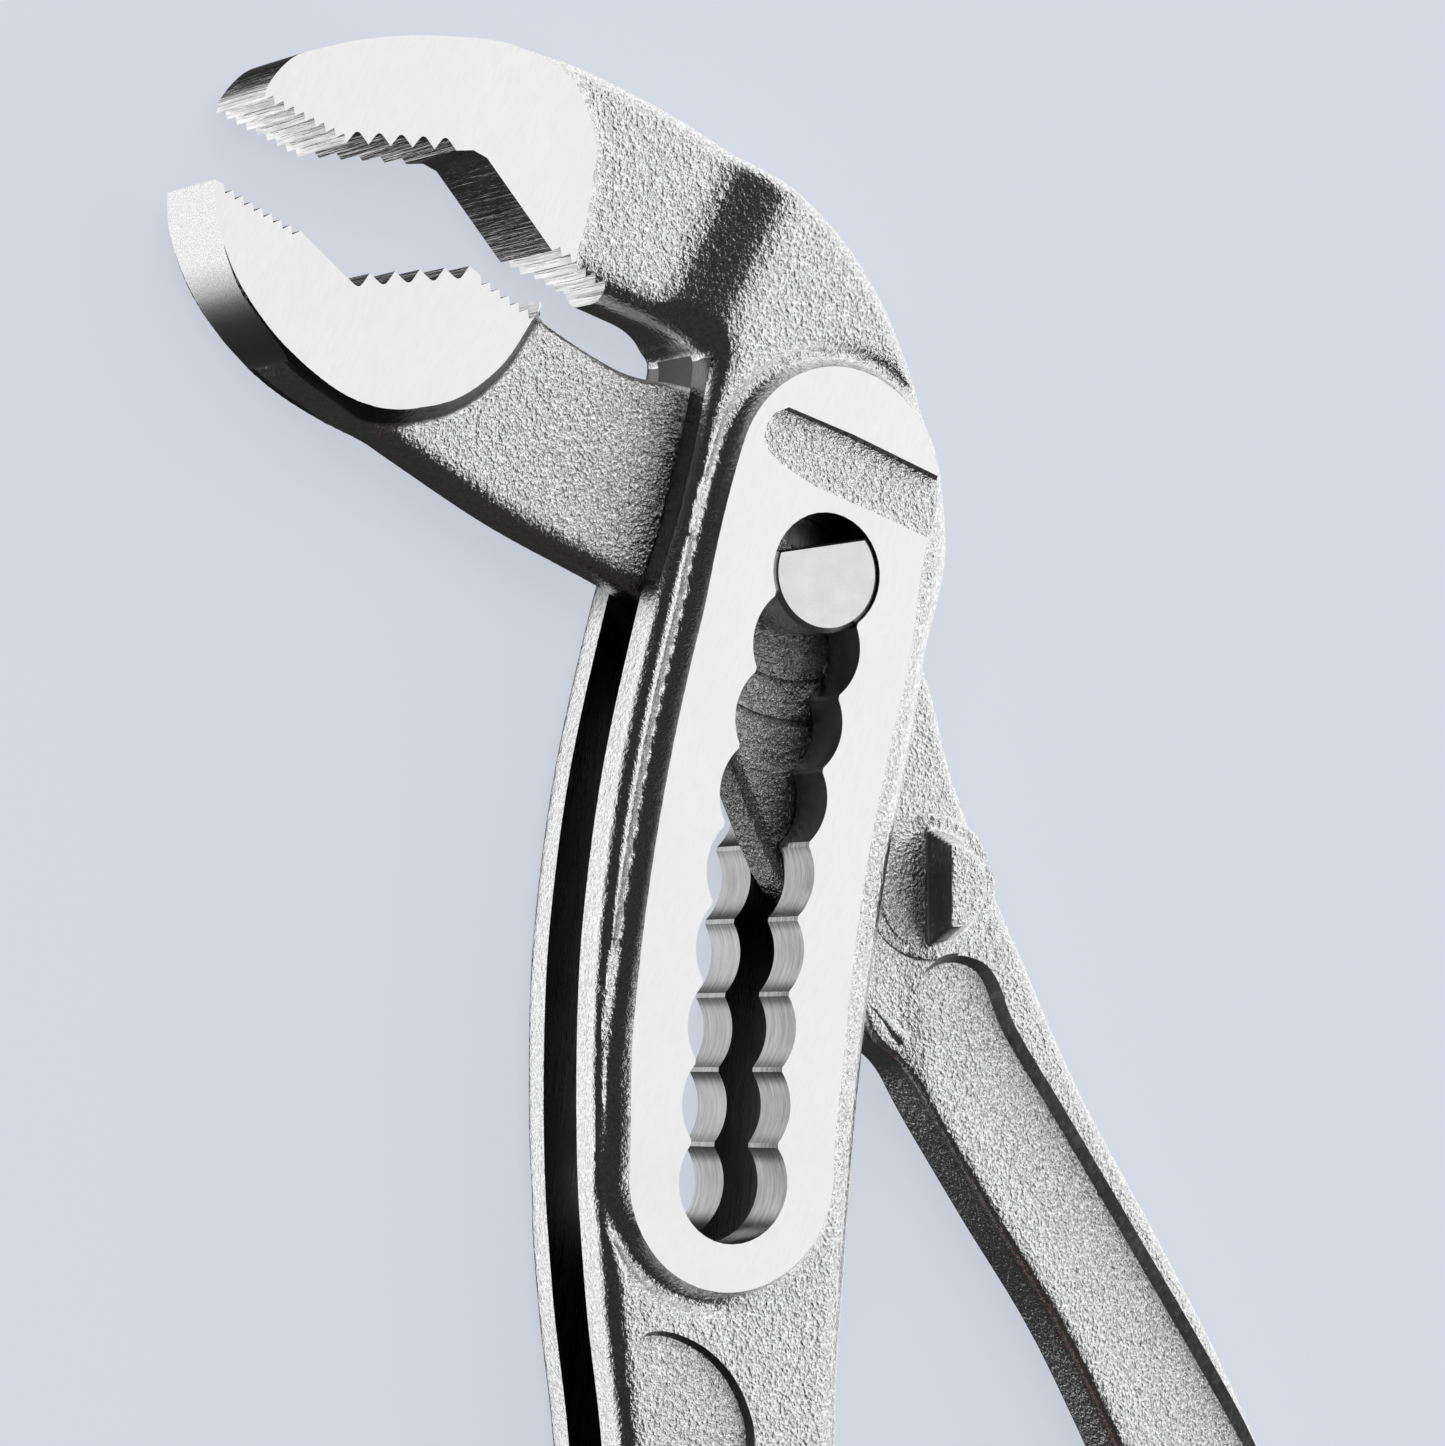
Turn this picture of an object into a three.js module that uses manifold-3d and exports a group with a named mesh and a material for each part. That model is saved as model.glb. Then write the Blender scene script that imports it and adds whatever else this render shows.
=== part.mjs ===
// Water pump pliers, 250 mm long, with a box joint and nine positions.
// Millimetres, +Z up. The tool lies flat on its back boss. The origin is the centre of
// the hinge bolt's lower end face. +Y points at the jaws' side, +X at the loose handle.
import * as THREE from 'three';
import * as BufferGeometryUtils from 'three/addons/utils/BufferGeometryUtils.js';
import Module from 'manifold-3d';

const wasm = await Module();
wasm.setup();

// Thicknesses, all measured across the tool
const bossThickness = 13;
const cheekThickness = 11.2;
const jawThickness = 7.6;
const neckThickness = 6.8;
const gapWidth = 4.8;
const shankClearance = 0.3;
const outerTangThickness = 6.6;
const innerTangThickness = 5.6;
const lugThickness = 11.2;

// Hinge bolt, and the curved slot with its seats
const boltRadius = 3.75;
const boltFlatDistance = 1.97;
const seatClearance = 0.4;
const seatPitch = 5.07;
const seatCount = 9;
const channelHalfWidth = 3.5;
const slotCurveRadius = 140;
const slotLean = THREE.MathUtils.degToRad(18.2);
const boltSideOffset = 0.32;
const bossHalfWidth = 7.8;
const bossSideOffset = 0.32;
const bossAboveBolt = 6;

// Jaws: reach is along X and rise along Y, both from the bolt's axis
const upperReach = 39.2;
const upperRise = 34;
const lowerReach = 42.7;
const lowerRise = 24;
const wideToothDepth = 0.95;
const fineToothDepth = 0.5;
const tipTeeth = 8;
const wideTeeth = 5;
const throatTeeth = 6;
const padInset = 0.7;

// Box of the outer half
const rimRight = 10.2;
const rimLeft = 16.2;
const boxDrop = 57;
const gapTopRadius = 16.4;
const gapDrop = 64;
const gapSlant = 10;
const rimRounding = 1.6;

// Arm and hub of the inner half
const hubRadius = 9.3;
const hubBore = 0.35;
const hubGrooveInner = 6.7;
const hubGrooveOuter = 8.8;
const hubGrooveDepth = 0.3;
const armDrop = 58;
const armReach = 36;
const edgeRounding = 0.6;

// Guard lug and stop bump on the inner half
const lugX = 10;
const lugDrop = 20.3;
const lugRadius = 3.1;
const lugBaseRadius = 4.7;
const lugBaseHeight = 0.2;
const bumpX = 9.2;
const bumpDrop = 29.6;
const bumpLength = 3;
const bumpRadius = 0.8;
const bumpHeight = 1.2;

// Recessed panels left bare
const panelDepth = 0.5;
const bossPanelWidth = 4;
const bossPanelX = -1.2;
const bossPanelY = 9;
const bossPanelLength = 13;
const bossPanelTurn = THREE.MathUtils.degToRad(-20);
const armPanelStart = 27.5;
const armPanelWidth = 5.4;
const archPanelWidth = 9;
const archPanelTop = 49.8;
const archPanelX = -10;
const archPanelLength = 22;

// Tangs inside the grips, and the grips
const tangEndDrop = 206;
const outerLean = 14.5;
const innerLean = 54.5;
const outerTangWidth = 11;
const innerTangWidth = 10;
const gripStartDrop = 88;
const gripTail = 10;
const gripWidth = 19;
const gripThickness = 13;
const gripRounding = 4.4;
const gripClearance = 0.3;
const inlayDepth = 1.6;
const inlayClearance = 0.3;
const inlayStartGap = 18;
const inlayEndGap = 2;

// Cuts run past the faces that they open, and vertices closer than the weld are one
const cutOverrun = 2;
const weldDistance = 1e-4;
const curveSteps = 3;
const arcSteps = 14;
const gripStepRatio = 1.4;
const circleSides = 40;
const bevelSteps = 2;

// Sizes that follow from the ones above
const middle = bossThickness / 2;
const shankThickness = gapWidth - 2 * shankClearance;
const seatRadius = boltRadius + seatClearance;
const seatSpan = seatPitch * (seatCount - 1);
const slotCentre = new THREE.Vector2(Math.cos(slotLean), -Math.sin(slotLean))
  .multiplyScalar(slotCurveRadius + boltSideOffset);
const slotStart = Math.PI - slotLean;

// Point beside the slot's centre line: how far down it, and how far to its left
function besideSlot(down, left) {
  const angle = slotStart + down / slotCurveRadius;
  const reach = slotCurveRadius + left;
  return new THREE.Vector2(Math.cos(angle), Math.sin(angle)).multiplyScalar(reach).add(slotCentre);
}

// Points given as shares of a width and a height
function scaled(shares, width, height) {
  return shares.map(([x, y]) => new THREE.Vector2(x * width, y * height));
}

// Smooth open curve through the points
function smooth(points) {
  return new THREE.SplineCurve(points).getPoints((points.length - 1) * curveSteps);
}

// Row of teeth up to, not with, its end; valleys lie left of the way, or right if negative
function toothed(start, end, count, depth) {
  const step = end.clone().sub(start).divideScalar(count);
  const inward = new THREE.Vector2(-step.y, step.x).normalize().multiplyScalar(depth);
  const row = [];
  for (let tooth = 0; tooth < count; tooth += 1) {
    row.push(start.clone().addScaledVector(step, tooth));
    row.push(start.clone().addScaledVector(step, tooth + 0.5).add(inward));
  }
  return row;
}

// Outline of a band along the slot, with round ends
function slotBand(from, to, halfWidth, left) {
  const outline = [];
  for (let step = 0; step <= arcSteps; step += 1) {
    outline.push(besideSlot(from + (to - from) * step / arcSteps, left - halfWidth));
  }
  const ends = [[to, -1], [from, 1]];
  for (const [down, side] of ends) {
    const centre = besideSlot(down, left);
    const edge = besideSlot(down, left + side * halfWidth).sub(centre);
    for (let step = 1; step < arcSteps; step += 1) {
      const turned = edge.clone().rotateAround(new THREE.Vector2(), -Math.PI * step / arcSteps);
      outline.push(centre.clone().add(turned));
    }
    if (side < 0) {
      for (let step = arcSteps; step >= 0; step -= 1) {
        outline.push(besideSlot(from + (to - from) * step / arcSteps, left + halfWidth));
      }
    }
  }
  return outline;
}

// Outline of a strip of changing width along a middle line
function strip(middlePoints, widths) {
  const near = [];
  const far = [];
  const last = middlePoints.length - 1;
  middlePoints.forEach((point, index) => {
    const place = (index / last) * (widths.length - 1);
    const from = Math.min(Math.floor(place), widths.length - 2);
    const width = THREE.MathUtils.lerp(widths[from], widths[from + 1], place - from);
    const along = middlePoints[Math.min(index + 1, last)].clone()
      .sub(middlePoints[Math.max(index - 1, 0)]).normalize();
    const side = new THREE.Vector2(-along.y, along.x).multiplyScalar(width / 2);
    near.push(point.clone().add(side));
    far.unshift(point.clone().sub(side));
  });
  return near.concat(far);
}

// Closed three.js geometry turned into a solid that can be cut and joined
function solid(geometry) {
  const bare = geometry.clone();
  bare.deleteAttribute('normal');
  bare.deleteAttribute('uv');
  const welded = BufferGeometryUtils.mergeVertices(bare, weldDistance);
  return new wasm.Manifold(new wasm.Mesh({
    numProp: 3,
    vertProperties: new Float32Array(welded.attributes.position.array),
    triVerts: new Uint32Array(welded.index.array),
  }));
}

// Plate of the given outline, centred on the tool's middle plane, with rounded rims
function plate(outline, thickness, rounding = 0) {
  const geometry = new THREE.ExtrudeGeometry(new THREE.Shape(outline), {
    depth: thickness - 2 * rounding,
    bevelEnabled: rounding > 0,
    bevelThickness: rounding,
    bevelSize: rounding,
    bevelOffset: -rounding,
    bevelSegments: bevelSteps,
  });
  geometry.translate(0, 0, middle - thickness / 2 + rounding);
  return solid(geometry);
}

// Round disc or pin on the middle plane
function disc(x, y, radius, thickness) {
  const geometry = new THREE.CylinderGeometry(radius, radius, thickness, circleSides);
  geometry.rotateX(Math.PI / 2);
  geometry.translate(x, y, middle);
  return solid(geometry);
}

// Plate that stands across the tool: its outline is a run of [place, half thickness]
function thicknessAlong(axis, profile, width) {
  const upper = profile.map(([place, half]) => new THREE.Vector2(place, half));
  const lower = profile.map(([place, half]) => new THREE.Vector2(place, -half)).reverse();
  const geometry = new THREE.ExtrudeGeometry(new THREE.Shape(upper.concat(lower)), {
    depth: 2 * width,
    bevelEnabled: false,
  });
  geometry.translate(0, 0, -width);
  geometry.rotateX(Math.PI / 2);
  if (axis === 'y') {
    geometry.rotateZ(Math.PI / 2);
  }
  geometry.translate(0, 0, middle);
  return solid(geometry);
}

// The same cut on the front and on the back face, to a depth below each
function bothFaces(outline, faceThickness, depth) {
  const outside = plate(outline, faceThickness + 2 * cutOverrun);
  return outside.subtract(plate(outline, faceThickness - 2 * depth));
}

// The arm's bare panel narrows downwards
const armPanelShares = [1, 0.9, 0.7];

// Middle lines of the two handles, and how their tangs narrow
const outerTangShares = [1.2, 1, 1, 1, 1, 1, 0.95, 0.85];
const innerTangShares = [1.1, 1, 1, 1, 1, 1, 0.95, 0.85];
const outerLineShares = [
  [-0.41, 0.22], [-0.42, 0.33], [-0.56, 0.45], [-0.8, 0.62], [-0.97, 0.78], [-0.95, 0.92], [-0.84, 1],
];
const innerLineShares = [
  [0.33, 0.19], [0.56, 0.285], [0.75, 0.39], [0.89, 0.51], [0.97, 0.65], [1, 0.8], [0.97, 0.93], [0.93, 1],
];
const outerLine = scaled(outerLineShares, outerLean, -tangEndDrop);
const innerLine = scaled(innerLineShares, innerLean, -tangEndDrop);

// Back of the upper jaw, over the hump and down the right rim of the box
const upperBackShares = [
  [-0.995, 0.9], [-0.952, 0.938], [-0.893, 0.962], [-0.824, 0.982], [-0.727, 0.997], [-0.622, 1],
  [-0.515, 0.988], [-0.426, 0.968], [-0.34, 0.932], [-0.235, 0.882], [-0.125, 0.815],
  [-0.035, 0.744], [0.055, 0.652], [0.125, 0.541], [0.173, 0.426], [0.212, 0.312], [0.24, 0.22],
];
const rightRimShares = [
  [1, 0.04], [0.95, -0.02], [0.86, -0.075], [0.78, -0.15], [0.69, -0.23], [0.59, -0.31], [0.5, -0.4],
  [0.4, -0.51], [0.31, -0.65], [0.24, -0.8], [0.18, -0.93], [0.17, -1.02], [0.1, -1.2], [-0.08, -1.4],
];
const leftRimShares = [
  [-0.86, -1.4], [-0.85, -1.2], [-0.89, -1], [-0.96, -0.84], [-1, -0.68], [-1, -0.5], [-0.965, -0.37],
  [-0.88, -0.215], [-0.72, -0.03], [-0.6, 0.08],
];
const throatShares = [[-0.2, 0.385], [-0.222, 0.438], [-0.262, 0.469], [-0.33, 0.498], [-0.375, 0.535]];

// Where the neck thickens from the pad to the box, and where the box thins to the tang
const neckShares = { pad: 0.41, saddle: 0.3, rise: 0.2, box: 0.156 };
const taperShares = { high: 1.15, low: 1.36, end: 1.4 };

// Points in the jaws that their blanks are drawn in towards
const padMiddleShares = { upper: [-0.6, 0.9], lower: [-0.8, 0.6] };

// Biting edge of the upper jaw, from the throat to the tip
const upperEdgeShares = {
  throatEnd: [-0.37, 0.538],
  throatStart: [-0.48, 0.603],
  cornerLow: [-0.6, 0.772],
  cornerHigh: [-0.625, 0.785],
  wideEnd: [-0.656, 0.782],
  wideStart: [-0.855, 0.782],
  tip: [-1, 0.853],
};
const upperPadBackShares = [[-0.41, 0.947], [-0.394, 0.87], [-0.39, 0.765], [-0.4, 0.67], [-0.36, 0.585]];

// Biting edge of the lower jaw, from the tip to the throat
const lowerEdgeShares = {
  tip: [-1, 0.99],
  tipStart: [-0.985, 0.978],
  tipEnd: [-0.86, 0.866],
  wideStart: [-0.787, 0.755],
  wideEnd: [-0.58, 0.8],
  throatStart: [-0.562, 0.776],
  throatEnd: [-0.466, 0.675],
};
const lowerFrontShares = [[-0.785, 0.42], [-0.87, 0.52], [-0.955, 0.7], [-0.997, 0.885]];
const lowerPadBackShares = [[-0.51, 0.56], [-0.565, 0.475], [-0.63, 0.415], [-0.71, 0.4]];
const shankUpperShares = [[-0.44, 0.68], [-0.36, 0.6], [-0.28, 0.538], [-0.18, 0.515], [-0.09, 0.45]];
const shankLowerShares = [
  [-0.65, 0.27], [-0.494, 0.113], [-0.304, -0.042], [-0.225, -0.13], [-0.165, -0.29],
];

// Arc of the hub that the outline shows, as shares of half a turn
const hubTopShare = 0.4;
const hubTurnShare = 0.45;

// Arm of the inner half, below the hub
const armRightShares = [
  [0.262, -0.07], [0.3, -0.137], [0.336, -0.217], [0.405, -0.326], [0.478, -0.426], [0.611, -0.59],
  [0.778, -0.757], [0.922, -0.909], [1.02, -1.03],
];
const armLeftShares = [
  [0.72, -1.03], [0.58, -0.885], [0.42, -0.74], [0.303, -0.633], [0.225, -0.56], [0.155, -0.52],
  [0.085, -0.42], [-0.022, -0.352], [-0.11, -0.24],
];

function pick(shares, name, width, height) {
  return scaled([shares[name]], width, height)[0];
}

const upperPoint = (name) => pick(upperEdgeShares, name, upperReach, upperRise);
const lowerPoint = (name) => pick(lowerEdgeShares, name, lowerReach, lowerRise);

// Moves each point towards a place by a fixed distance, to keep a blank inside its pad
function drawnIn(points, towards, distance) {
  return points.map((point) => {
    const way = towards.clone().sub(point).normalize();
    return point.clone().addScaledVector(way, distance);
  });
}

function makeOuterHalf() {
  const upperBack = scaled(upperBackShares, upperReach, upperRise);
  const upperEdge = ['throatStart', 'wideEnd', 'wideStart'].map(upperPoint);
  const padMiddle = pick(padMiddleShares, 'upper', upperReach, upperRise);
  const blankOutline = [
    upperBack[3],
    ...smooth(upperBack.slice(4).concat(scaled(rightRimShares, rimRight, boxDrop))),
    ...smooth(scaled(leftRimShares, rimLeft, boxDrop)
      .concat(scaled(throatShares, upperReach, upperRise))),
    ...drawnIn(upperEdge, padMiddle, padInset),
  ];
  const headProfile = [
    [-upperReach - cutOverrun, jawThickness / 2 - padInset],
    [-neckShares.pad * upperReach, neckThickness / 2],
    [-neckShares.saddle * upperReach, neckThickness / 2],
    [-neckShares.rise * upperReach, (neckThickness + cheekThickness) / 4],
    [-neckShares.box * upperReach, cheekThickness / 2],
    [rimRight + cutOverrun, cheekThickness / 2],
  ];
  const boxProfile = [
    [-taperShares.end * boxDrop - cutOverrun, outerTangThickness / 2],
    [-taperShares.low * boxDrop, outerTangThickness / 2],
    [-taperShares.high * boxDrop, cheekThickness / 2],
    [-seatRadius, cheekThickness / 2],
  ];
  const blank = plate(blankOutline, cheekThickness, rimRounding);
  const head = blank.intersect(thicknessAlong('x', headProfile, 2 * upperRise));
  const box = blank.intersect(thicknessAlong('y', boxProfile, 2 * rimLeft));
  const upperHead = head.intersect(plate([
    new THREE.Vector2(-2 * upperReach, -seatRadius),
    new THREE.Vector2(upperReach, -seatRadius),
    new THREE.Vector2(upperReach, 2 * upperRise),
    new THREE.Vector2(-2 * upperReach, 2 * upperRise),
  ], bossThickness));

  const padOutline = [
    ...toothed(upperPoint('tip'), upperPoint('wideStart'), tipTeeth, fineToothDepth),
    ...toothed(upperPoint('wideStart'), upperPoint('wideEnd'), wideTeeth, wideToothDepth),
    upperPoint('wideEnd'),
    upperPoint('cornerHigh'),
    upperPoint('cornerLow'),
    ...toothed(upperPoint('throatStart'), upperPoint('throatEnd'), throatTeeth, fineToothDepth),
    upperPoint('throatEnd'),
    ...smooth(scaled(upperPadBackShares, upperReach, upperRise).reverse()),
    ...smooth(upperBack.slice(0, 8)).reverse(),
  ];
  const pad = plate(padOutline, jawThickness);
  const boss = plate(
    slotBand(-bossAboveBolt, seatSpan, bossHalfWidth, bossSideOffset),
    bossThickness,
  );
  const tang = plate(
    strip(smooth(outerLine), outerTangShares.map((share) => share * outerTangWidth)),
    outerTangThickness,
    edgeRounding,
  );

  const gapOutline = [
    ...roundTop(gapTopRadius),
    new THREE.Vector2(-2 * rimLeft, -gapDrop - gapSlant),
    new THREE.Vector2(2 * rimLeft, -gapDrop),
  ];
  let cuts = plate(gapOutline, gapWidth);
  cuts = cuts.add(plate(slotBand(0, seatSpan, channelHalfWidth, 0), bossThickness + cutOverrun));
  for (let seat = 0; seat < seatCount; seat += 1) {
    const centre = besideSlot(seat * seatPitch, 0);
    cuts = cuts.add(disc(centre.x, centre.y, seatRadius, bossThickness + cutOverrun));
  }
  cuts = cuts.add(bothFaces(bossPanelOutline(), bossThickness, panelDepth));
  cuts = cuts.add(bothFaces(archPanelOutline(), cheekThickness, panelDepth));
  return upperHead.add(box).add(pad).add(boss).add(tang).subtract(cuts);
}

// Round top of the milled gap, from its left side over the bolt to its right side
function roundTop(radius) {
  const top = [new THREE.Vector2(2 * rimLeft, 0)];
  for (let step = 0; step <= arcSteps; step += 1) {
    const angle = Math.PI * step / arcSteps;
    top.push(new THREE.Vector2(Math.cos(angle) * radius, Math.sin(angle) * radius));
  }
  top.push(new THREE.Vector2(-2 * rimLeft, 0));
  return top;
}

// Bare recess on the boss: a round left end, running off the boss on the right
function bossPanelOutline() {
  const turn = new THREE.Vector2();
  const outline = [new THREE.Vector2(bossPanelLength, -bossPanelWidth / 2)];
  outline.push(new THREE.Vector2(bossPanelLength, bossPanelWidth / 2));
  for (let step = 0; step <= arcSteps; step += 1) {
    const angle = Math.PI / 2 + Math.PI * step / arcSteps;
    const reach = bossPanelWidth / 2;
    outline.push(new THREE.Vector2(Math.cos(angle) * reach, Math.sin(angle) * reach));
  }
  return outline.map((point) => point.rotateAround(turn, bossPanelTurn)
    .add(new THREE.Vector2(bossPanelX, bossPanelY)));
}

// Bare recess on the fixed handle, with a round top
function archPanelOutline() {
  const reach = archPanelWidth / 2;
  const outline = [];
  for (let step = 0; step <= arcSteps; step += 1) {
    const angle = Math.PI * step / arcSteps;
    outline.push(new THREE.Vector2(
      archPanelX + reach + Math.cos(angle) * reach,
      -archPanelTop - reach + Math.sin(angle) * reach,
    ));
  }
  outline.push(new THREE.Vector2(archPanelX, -archPanelTop - archPanelLength));
  outline.push(new THREE.Vector2(archPanelX + archPanelWidth, -archPanelTop - archPanelLength));
  return outline;
}

function makeInnerHalf() {
  const hub = [];
  for (let step = 0; step <= arcSteps; step += 1) {
    const angle = Math.PI * (hubTopShare - hubTurnShare * step / arcSteps);
    hub.push(new THREE.Vector2(Math.cos(angle) * hubRadius, Math.sin(angle) * hubRadius));
  }
  const front = scaled(lowerFrontShares, lowerReach, lowerRise);
  const lowerEdge = ['tipEnd', 'wideStart', 'wideEnd'].map(lowerPoint);
  const padMiddle = pick(padMiddleShares, 'lower', lowerReach, lowerRise);
  const blankOutline = [
    ...drawnIn([...smooth(front), ...lowerEdge], padMiddle, padInset),
    ...smooth(scaled(shankUpperShares, lowerReach, lowerRise)),
    ...hub,
    ...smooth(scaled(armRightShares, armReach, armDrop)),
    ...smooth(scaled(armLeftShares, armReach, armDrop)
      .concat(scaled(shankLowerShares, lowerReach, lowerRise).reverse())),
  ];
  const blank = plate(blankOutline, shankThickness, edgeRounding);
  const padOutline = [
    lowerPoint('tip'),
    ...toothed(lowerPoint('tipStart'), lowerPoint('tipEnd'), tipTeeth, -fineToothDepth),
    lowerPoint('tipEnd'),
    ...toothed(lowerPoint('wideStart'), lowerPoint('wideEnd'), wideTeeth, -wideToothDepth),
    lowerPoint('wideEnd'),
    ...toothed(lowerPoint('throatStart'), lowerPoint('throatEnd'), throatTeeth, -fineToothDepth),
    lowerPoint('throatEnd'),
    ...smooth(scaled(lowerPadBackShares, lowerReach, lowerRise)),
    ...smooth(front),
  ];
  const pad = plate(padOutline, jawThickness);
  const tang = plate(
    strip(smooth(innerLine), innerTangShares.map((share) => share * innerTangWidth)),
    innerTangThickness,
    edgeRounding,
  );
  const lugOutline = [];
  for (let step = 0; step <= arcSteps; step += 1) {
    const angle = Math.PI * (step / arcSteps - 0.5);
    lugOutline.push(new THREE.Vector2(
      lugX + Math.cos(angle) * lugRadius,
      -lugDrop + Math.sin(angle) * lugRadius,
    ));
  }
  const lug = plate(lugOutline, lugThickness);
  const lugBase = disc(lugX, -lugDrop, lugBaseRadius, shankThickness + 2 * lugBaseHeight);
  const bumpOutline = strip([
    new THREE.Vector2(bumpX - bumpLength / 2, -bumpDrop),
    new THREE.Vector2(bumpX, -bumpDrop - bumpLength / 2),
    new THREE.Vector2(bumpX + bumpLength / 2, -bumpDrop - bumpLength),
  ], [bumpRadius, 2 * bumpRadius, bumpRadius]);
  const bump = plate(bumpOutline, shankThickness + 2 * bumpHeight);
  const bore = disc(0, 0, boltRadius + hubBore, bossThickness);
  const groove = disc(0, 0, hubGrooveOuter, bossThickness)
    .subtract(disc(0, 0, hubGrooveInner, bossThickness + cutOverrun))
    .subtract(disc(0, 0, hubRadius, shankThickness - 2 * hubGrooveDepth));
  const panelLine = innerLine.slice(0, 4).map((point) => point.clone());
  panelLine[0].set(lugX + lugRadius, -armPanelStart);
  const panel = bothFaces(
    strip(panelLine, armPanelShares.map((share) => share * armPanelWidth)),
    innerTangThickness,
    panelDepth,
  );
  return blank.add(pad).add(tang).add(lug).add(lugBase).add(bump)
    .subtract(bore).subtract(groove).subtract(panel);
}

// The bolt stands with its flat along the slot, as it does while it slides
function makeBolt() {
  const turn = new THREE.Vector2();
  const flatAngle = Math.acos(boltFlatDistance / boltRadius);
  const outline = [];
  for (let step = 0; step <= circleSides; step += 1) {
    const angle = flatAngle + (2 * Math.PI - 2 * flatAngle) * step / circleSides;
    const point = new THREE.Vector2(Math.cos(angle) * boltRadius, Math.sin(angle) * boltRadius);
    outline.push(point.rotateAround(turn, slotStart));
  }
  return plate(outline, bossThickness);
}

// Part of a handle's middle line between two depths, in equal steps that its rounding fits
function between(line, fromDrop, toDrop) {
  const curve = new THREE.SplineCurve(line);
  const steps = Math.floor(curve.getLength() / (gripStepRatio * gripRounding));
  const points = curve.getSpacedPoints(steps)
    .filter((point) => -point.y > fromDrop && -point.y < toDrop);
  return points;
}

// The inlay's window is as wide as the grip, and narrows at both ends
const inlayWidthShares = [0.3, 1, 1, 1, 0.3];

// A grip flares at its collar, thins for the fingers and narrows at its tail
const gripWidthShares = [1.08, 1.28, 1, 0.95, 0.98, 1.02, 1.04, 1.02, 0.98, 0.94, 0.9, 0.72];

// Grip for one handle: a hard core round the tang and a soft inlay over its palm side
function makeGrip(line, tangWidth, tangThickness, palmSide) {
  const last = line[line.length - 1];
  const before = line[line.length - 2];
  const endWay = last.clone().sub(before).normalize();
  const tailEnd = last.clone().addScaledVector(endWay, gripTail);
  const run = [...between(line, gripStartDrop, tangEndDrop), tailEnd];
  const bodyWidths = gripWidthShares.map((share) => share * gripWidth);
  const body = plate(strip(run, bodyWidths), gripThickness, gripRounding);
  const mouth = between(line, gripStartDrop - gripWidth, tangEndDrop)
    .concat([last.clone().addScaledVector(endWay, gripClearance)]);
  const bore = plate(
    strip(mouth, [tangWidth + 2 * gripClearance, tangWidth + 2 * gripClearance]),
    tangThickness + 2 * gripClearance,
  );
  const whole = body.subtract(bore);

  const inlayRun = between(line, gripStartDrop + inlayStartGap, tangEndDrop - inlayEndGap);
  const window = (shrink) => {
    const shifted = inlayRun.map((point) => point.clone()
      .add(new THREE.Vector2(palmSide * (gripWidth / 2 + shrink), 0)));
    const widths = inlayWidthShares.map((share) => share * gripWidth - shrink);
    return plate(strip(shifted, widths), gripThickness + cutOverrun);
  };
  const deepWidths = bodyWidths.map((width) => width - 2 * inlayDepth);
  const deep = plate(strip(run, deepWidths), gripThickness - 2 * inlayDepth, gripRounding / 2);
  const deeperWidths = deepWidths.map((width) => width - 2 * inlayClearance);
  const deeper = plate(
    strip(run, deeperWidths),
    gripThickness - 2 * inlayDepth - 2 * inlayClearance,
    gripRounding / 2,
  );
  const inlay = whole.intersect(window(inlayClearance)).subtract(deep);
  const core = whole.subtract(window(0).subtract(deeper));
  return { core, inlay };
}

const forgedChrome = new THREE.MeshStandardMaterial({ color: 0xb9bcc0, roughness: 0.42, metalness: 1 });
const groundSteel = new THREE.MeshStandardMaterial({ color: 0xd9dadb, roughness: 0.25, metalness: 1 });
const hardGrip = new THREE.MeshStandardMaterial({ color: 0xa3231f, roughness: 0.5, metalness: 0 });
const softGrip = new THREE.MeshStandardMaterial({ color: 0x2b2d31, roughness: 0.8, metalness: 0 });

const pliers = new THREE.Group();

function addPiece(name, shape, material) {
  const cut = shape.getMesh();
  const geometry = new THREE.BufferGeometry();
  geometry.setAttribute('position', new THREE.BufferAttribute(cut.vertProperties, 3));
  geometry.setIndex(new THREE.BufferAttribute(cut.triVerts, 1));
  geometry.computeVertexNormals();
  const mesh = new THREE.Mesh(geometry, material);
  mesh.name = name;
  pliers.add(mesh);
}

const outerGrip = makeGrip(outerLine, outerTangWidth, outerTangThickness, -1);
const innerGrip = makeGrip(innerLine, innerTangWidth, innerTangThickness, 1);

addPiece('outer_half', makeOuterHalf(), forgedChrome);
addPiece('inner_half', makeInnerHalf(), forgedChrome);
addPiece('hinge_bolt', makeBolt(), groundSteel);
addPiece('outer_grip_core', outerGrip.core, hardGrip);
addPiece('outer_grip_inlay', outerGrip.inlay, softGrip);
addPiece('inner_grip_core', innerGrip.core, hardGrip);
addPiece('inner_grip_inlay', innerGrip.inlay, softGrip);

export default pliers;
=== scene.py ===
"""Water pump pliers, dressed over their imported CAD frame.

Each forging is modelled as it is made: a soft forged body first, then crisp cuts for
everything that is ground, milled or broached.
"""

import math

import bpy
import numpy as np
from mathutils import Matrix, Vector


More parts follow.
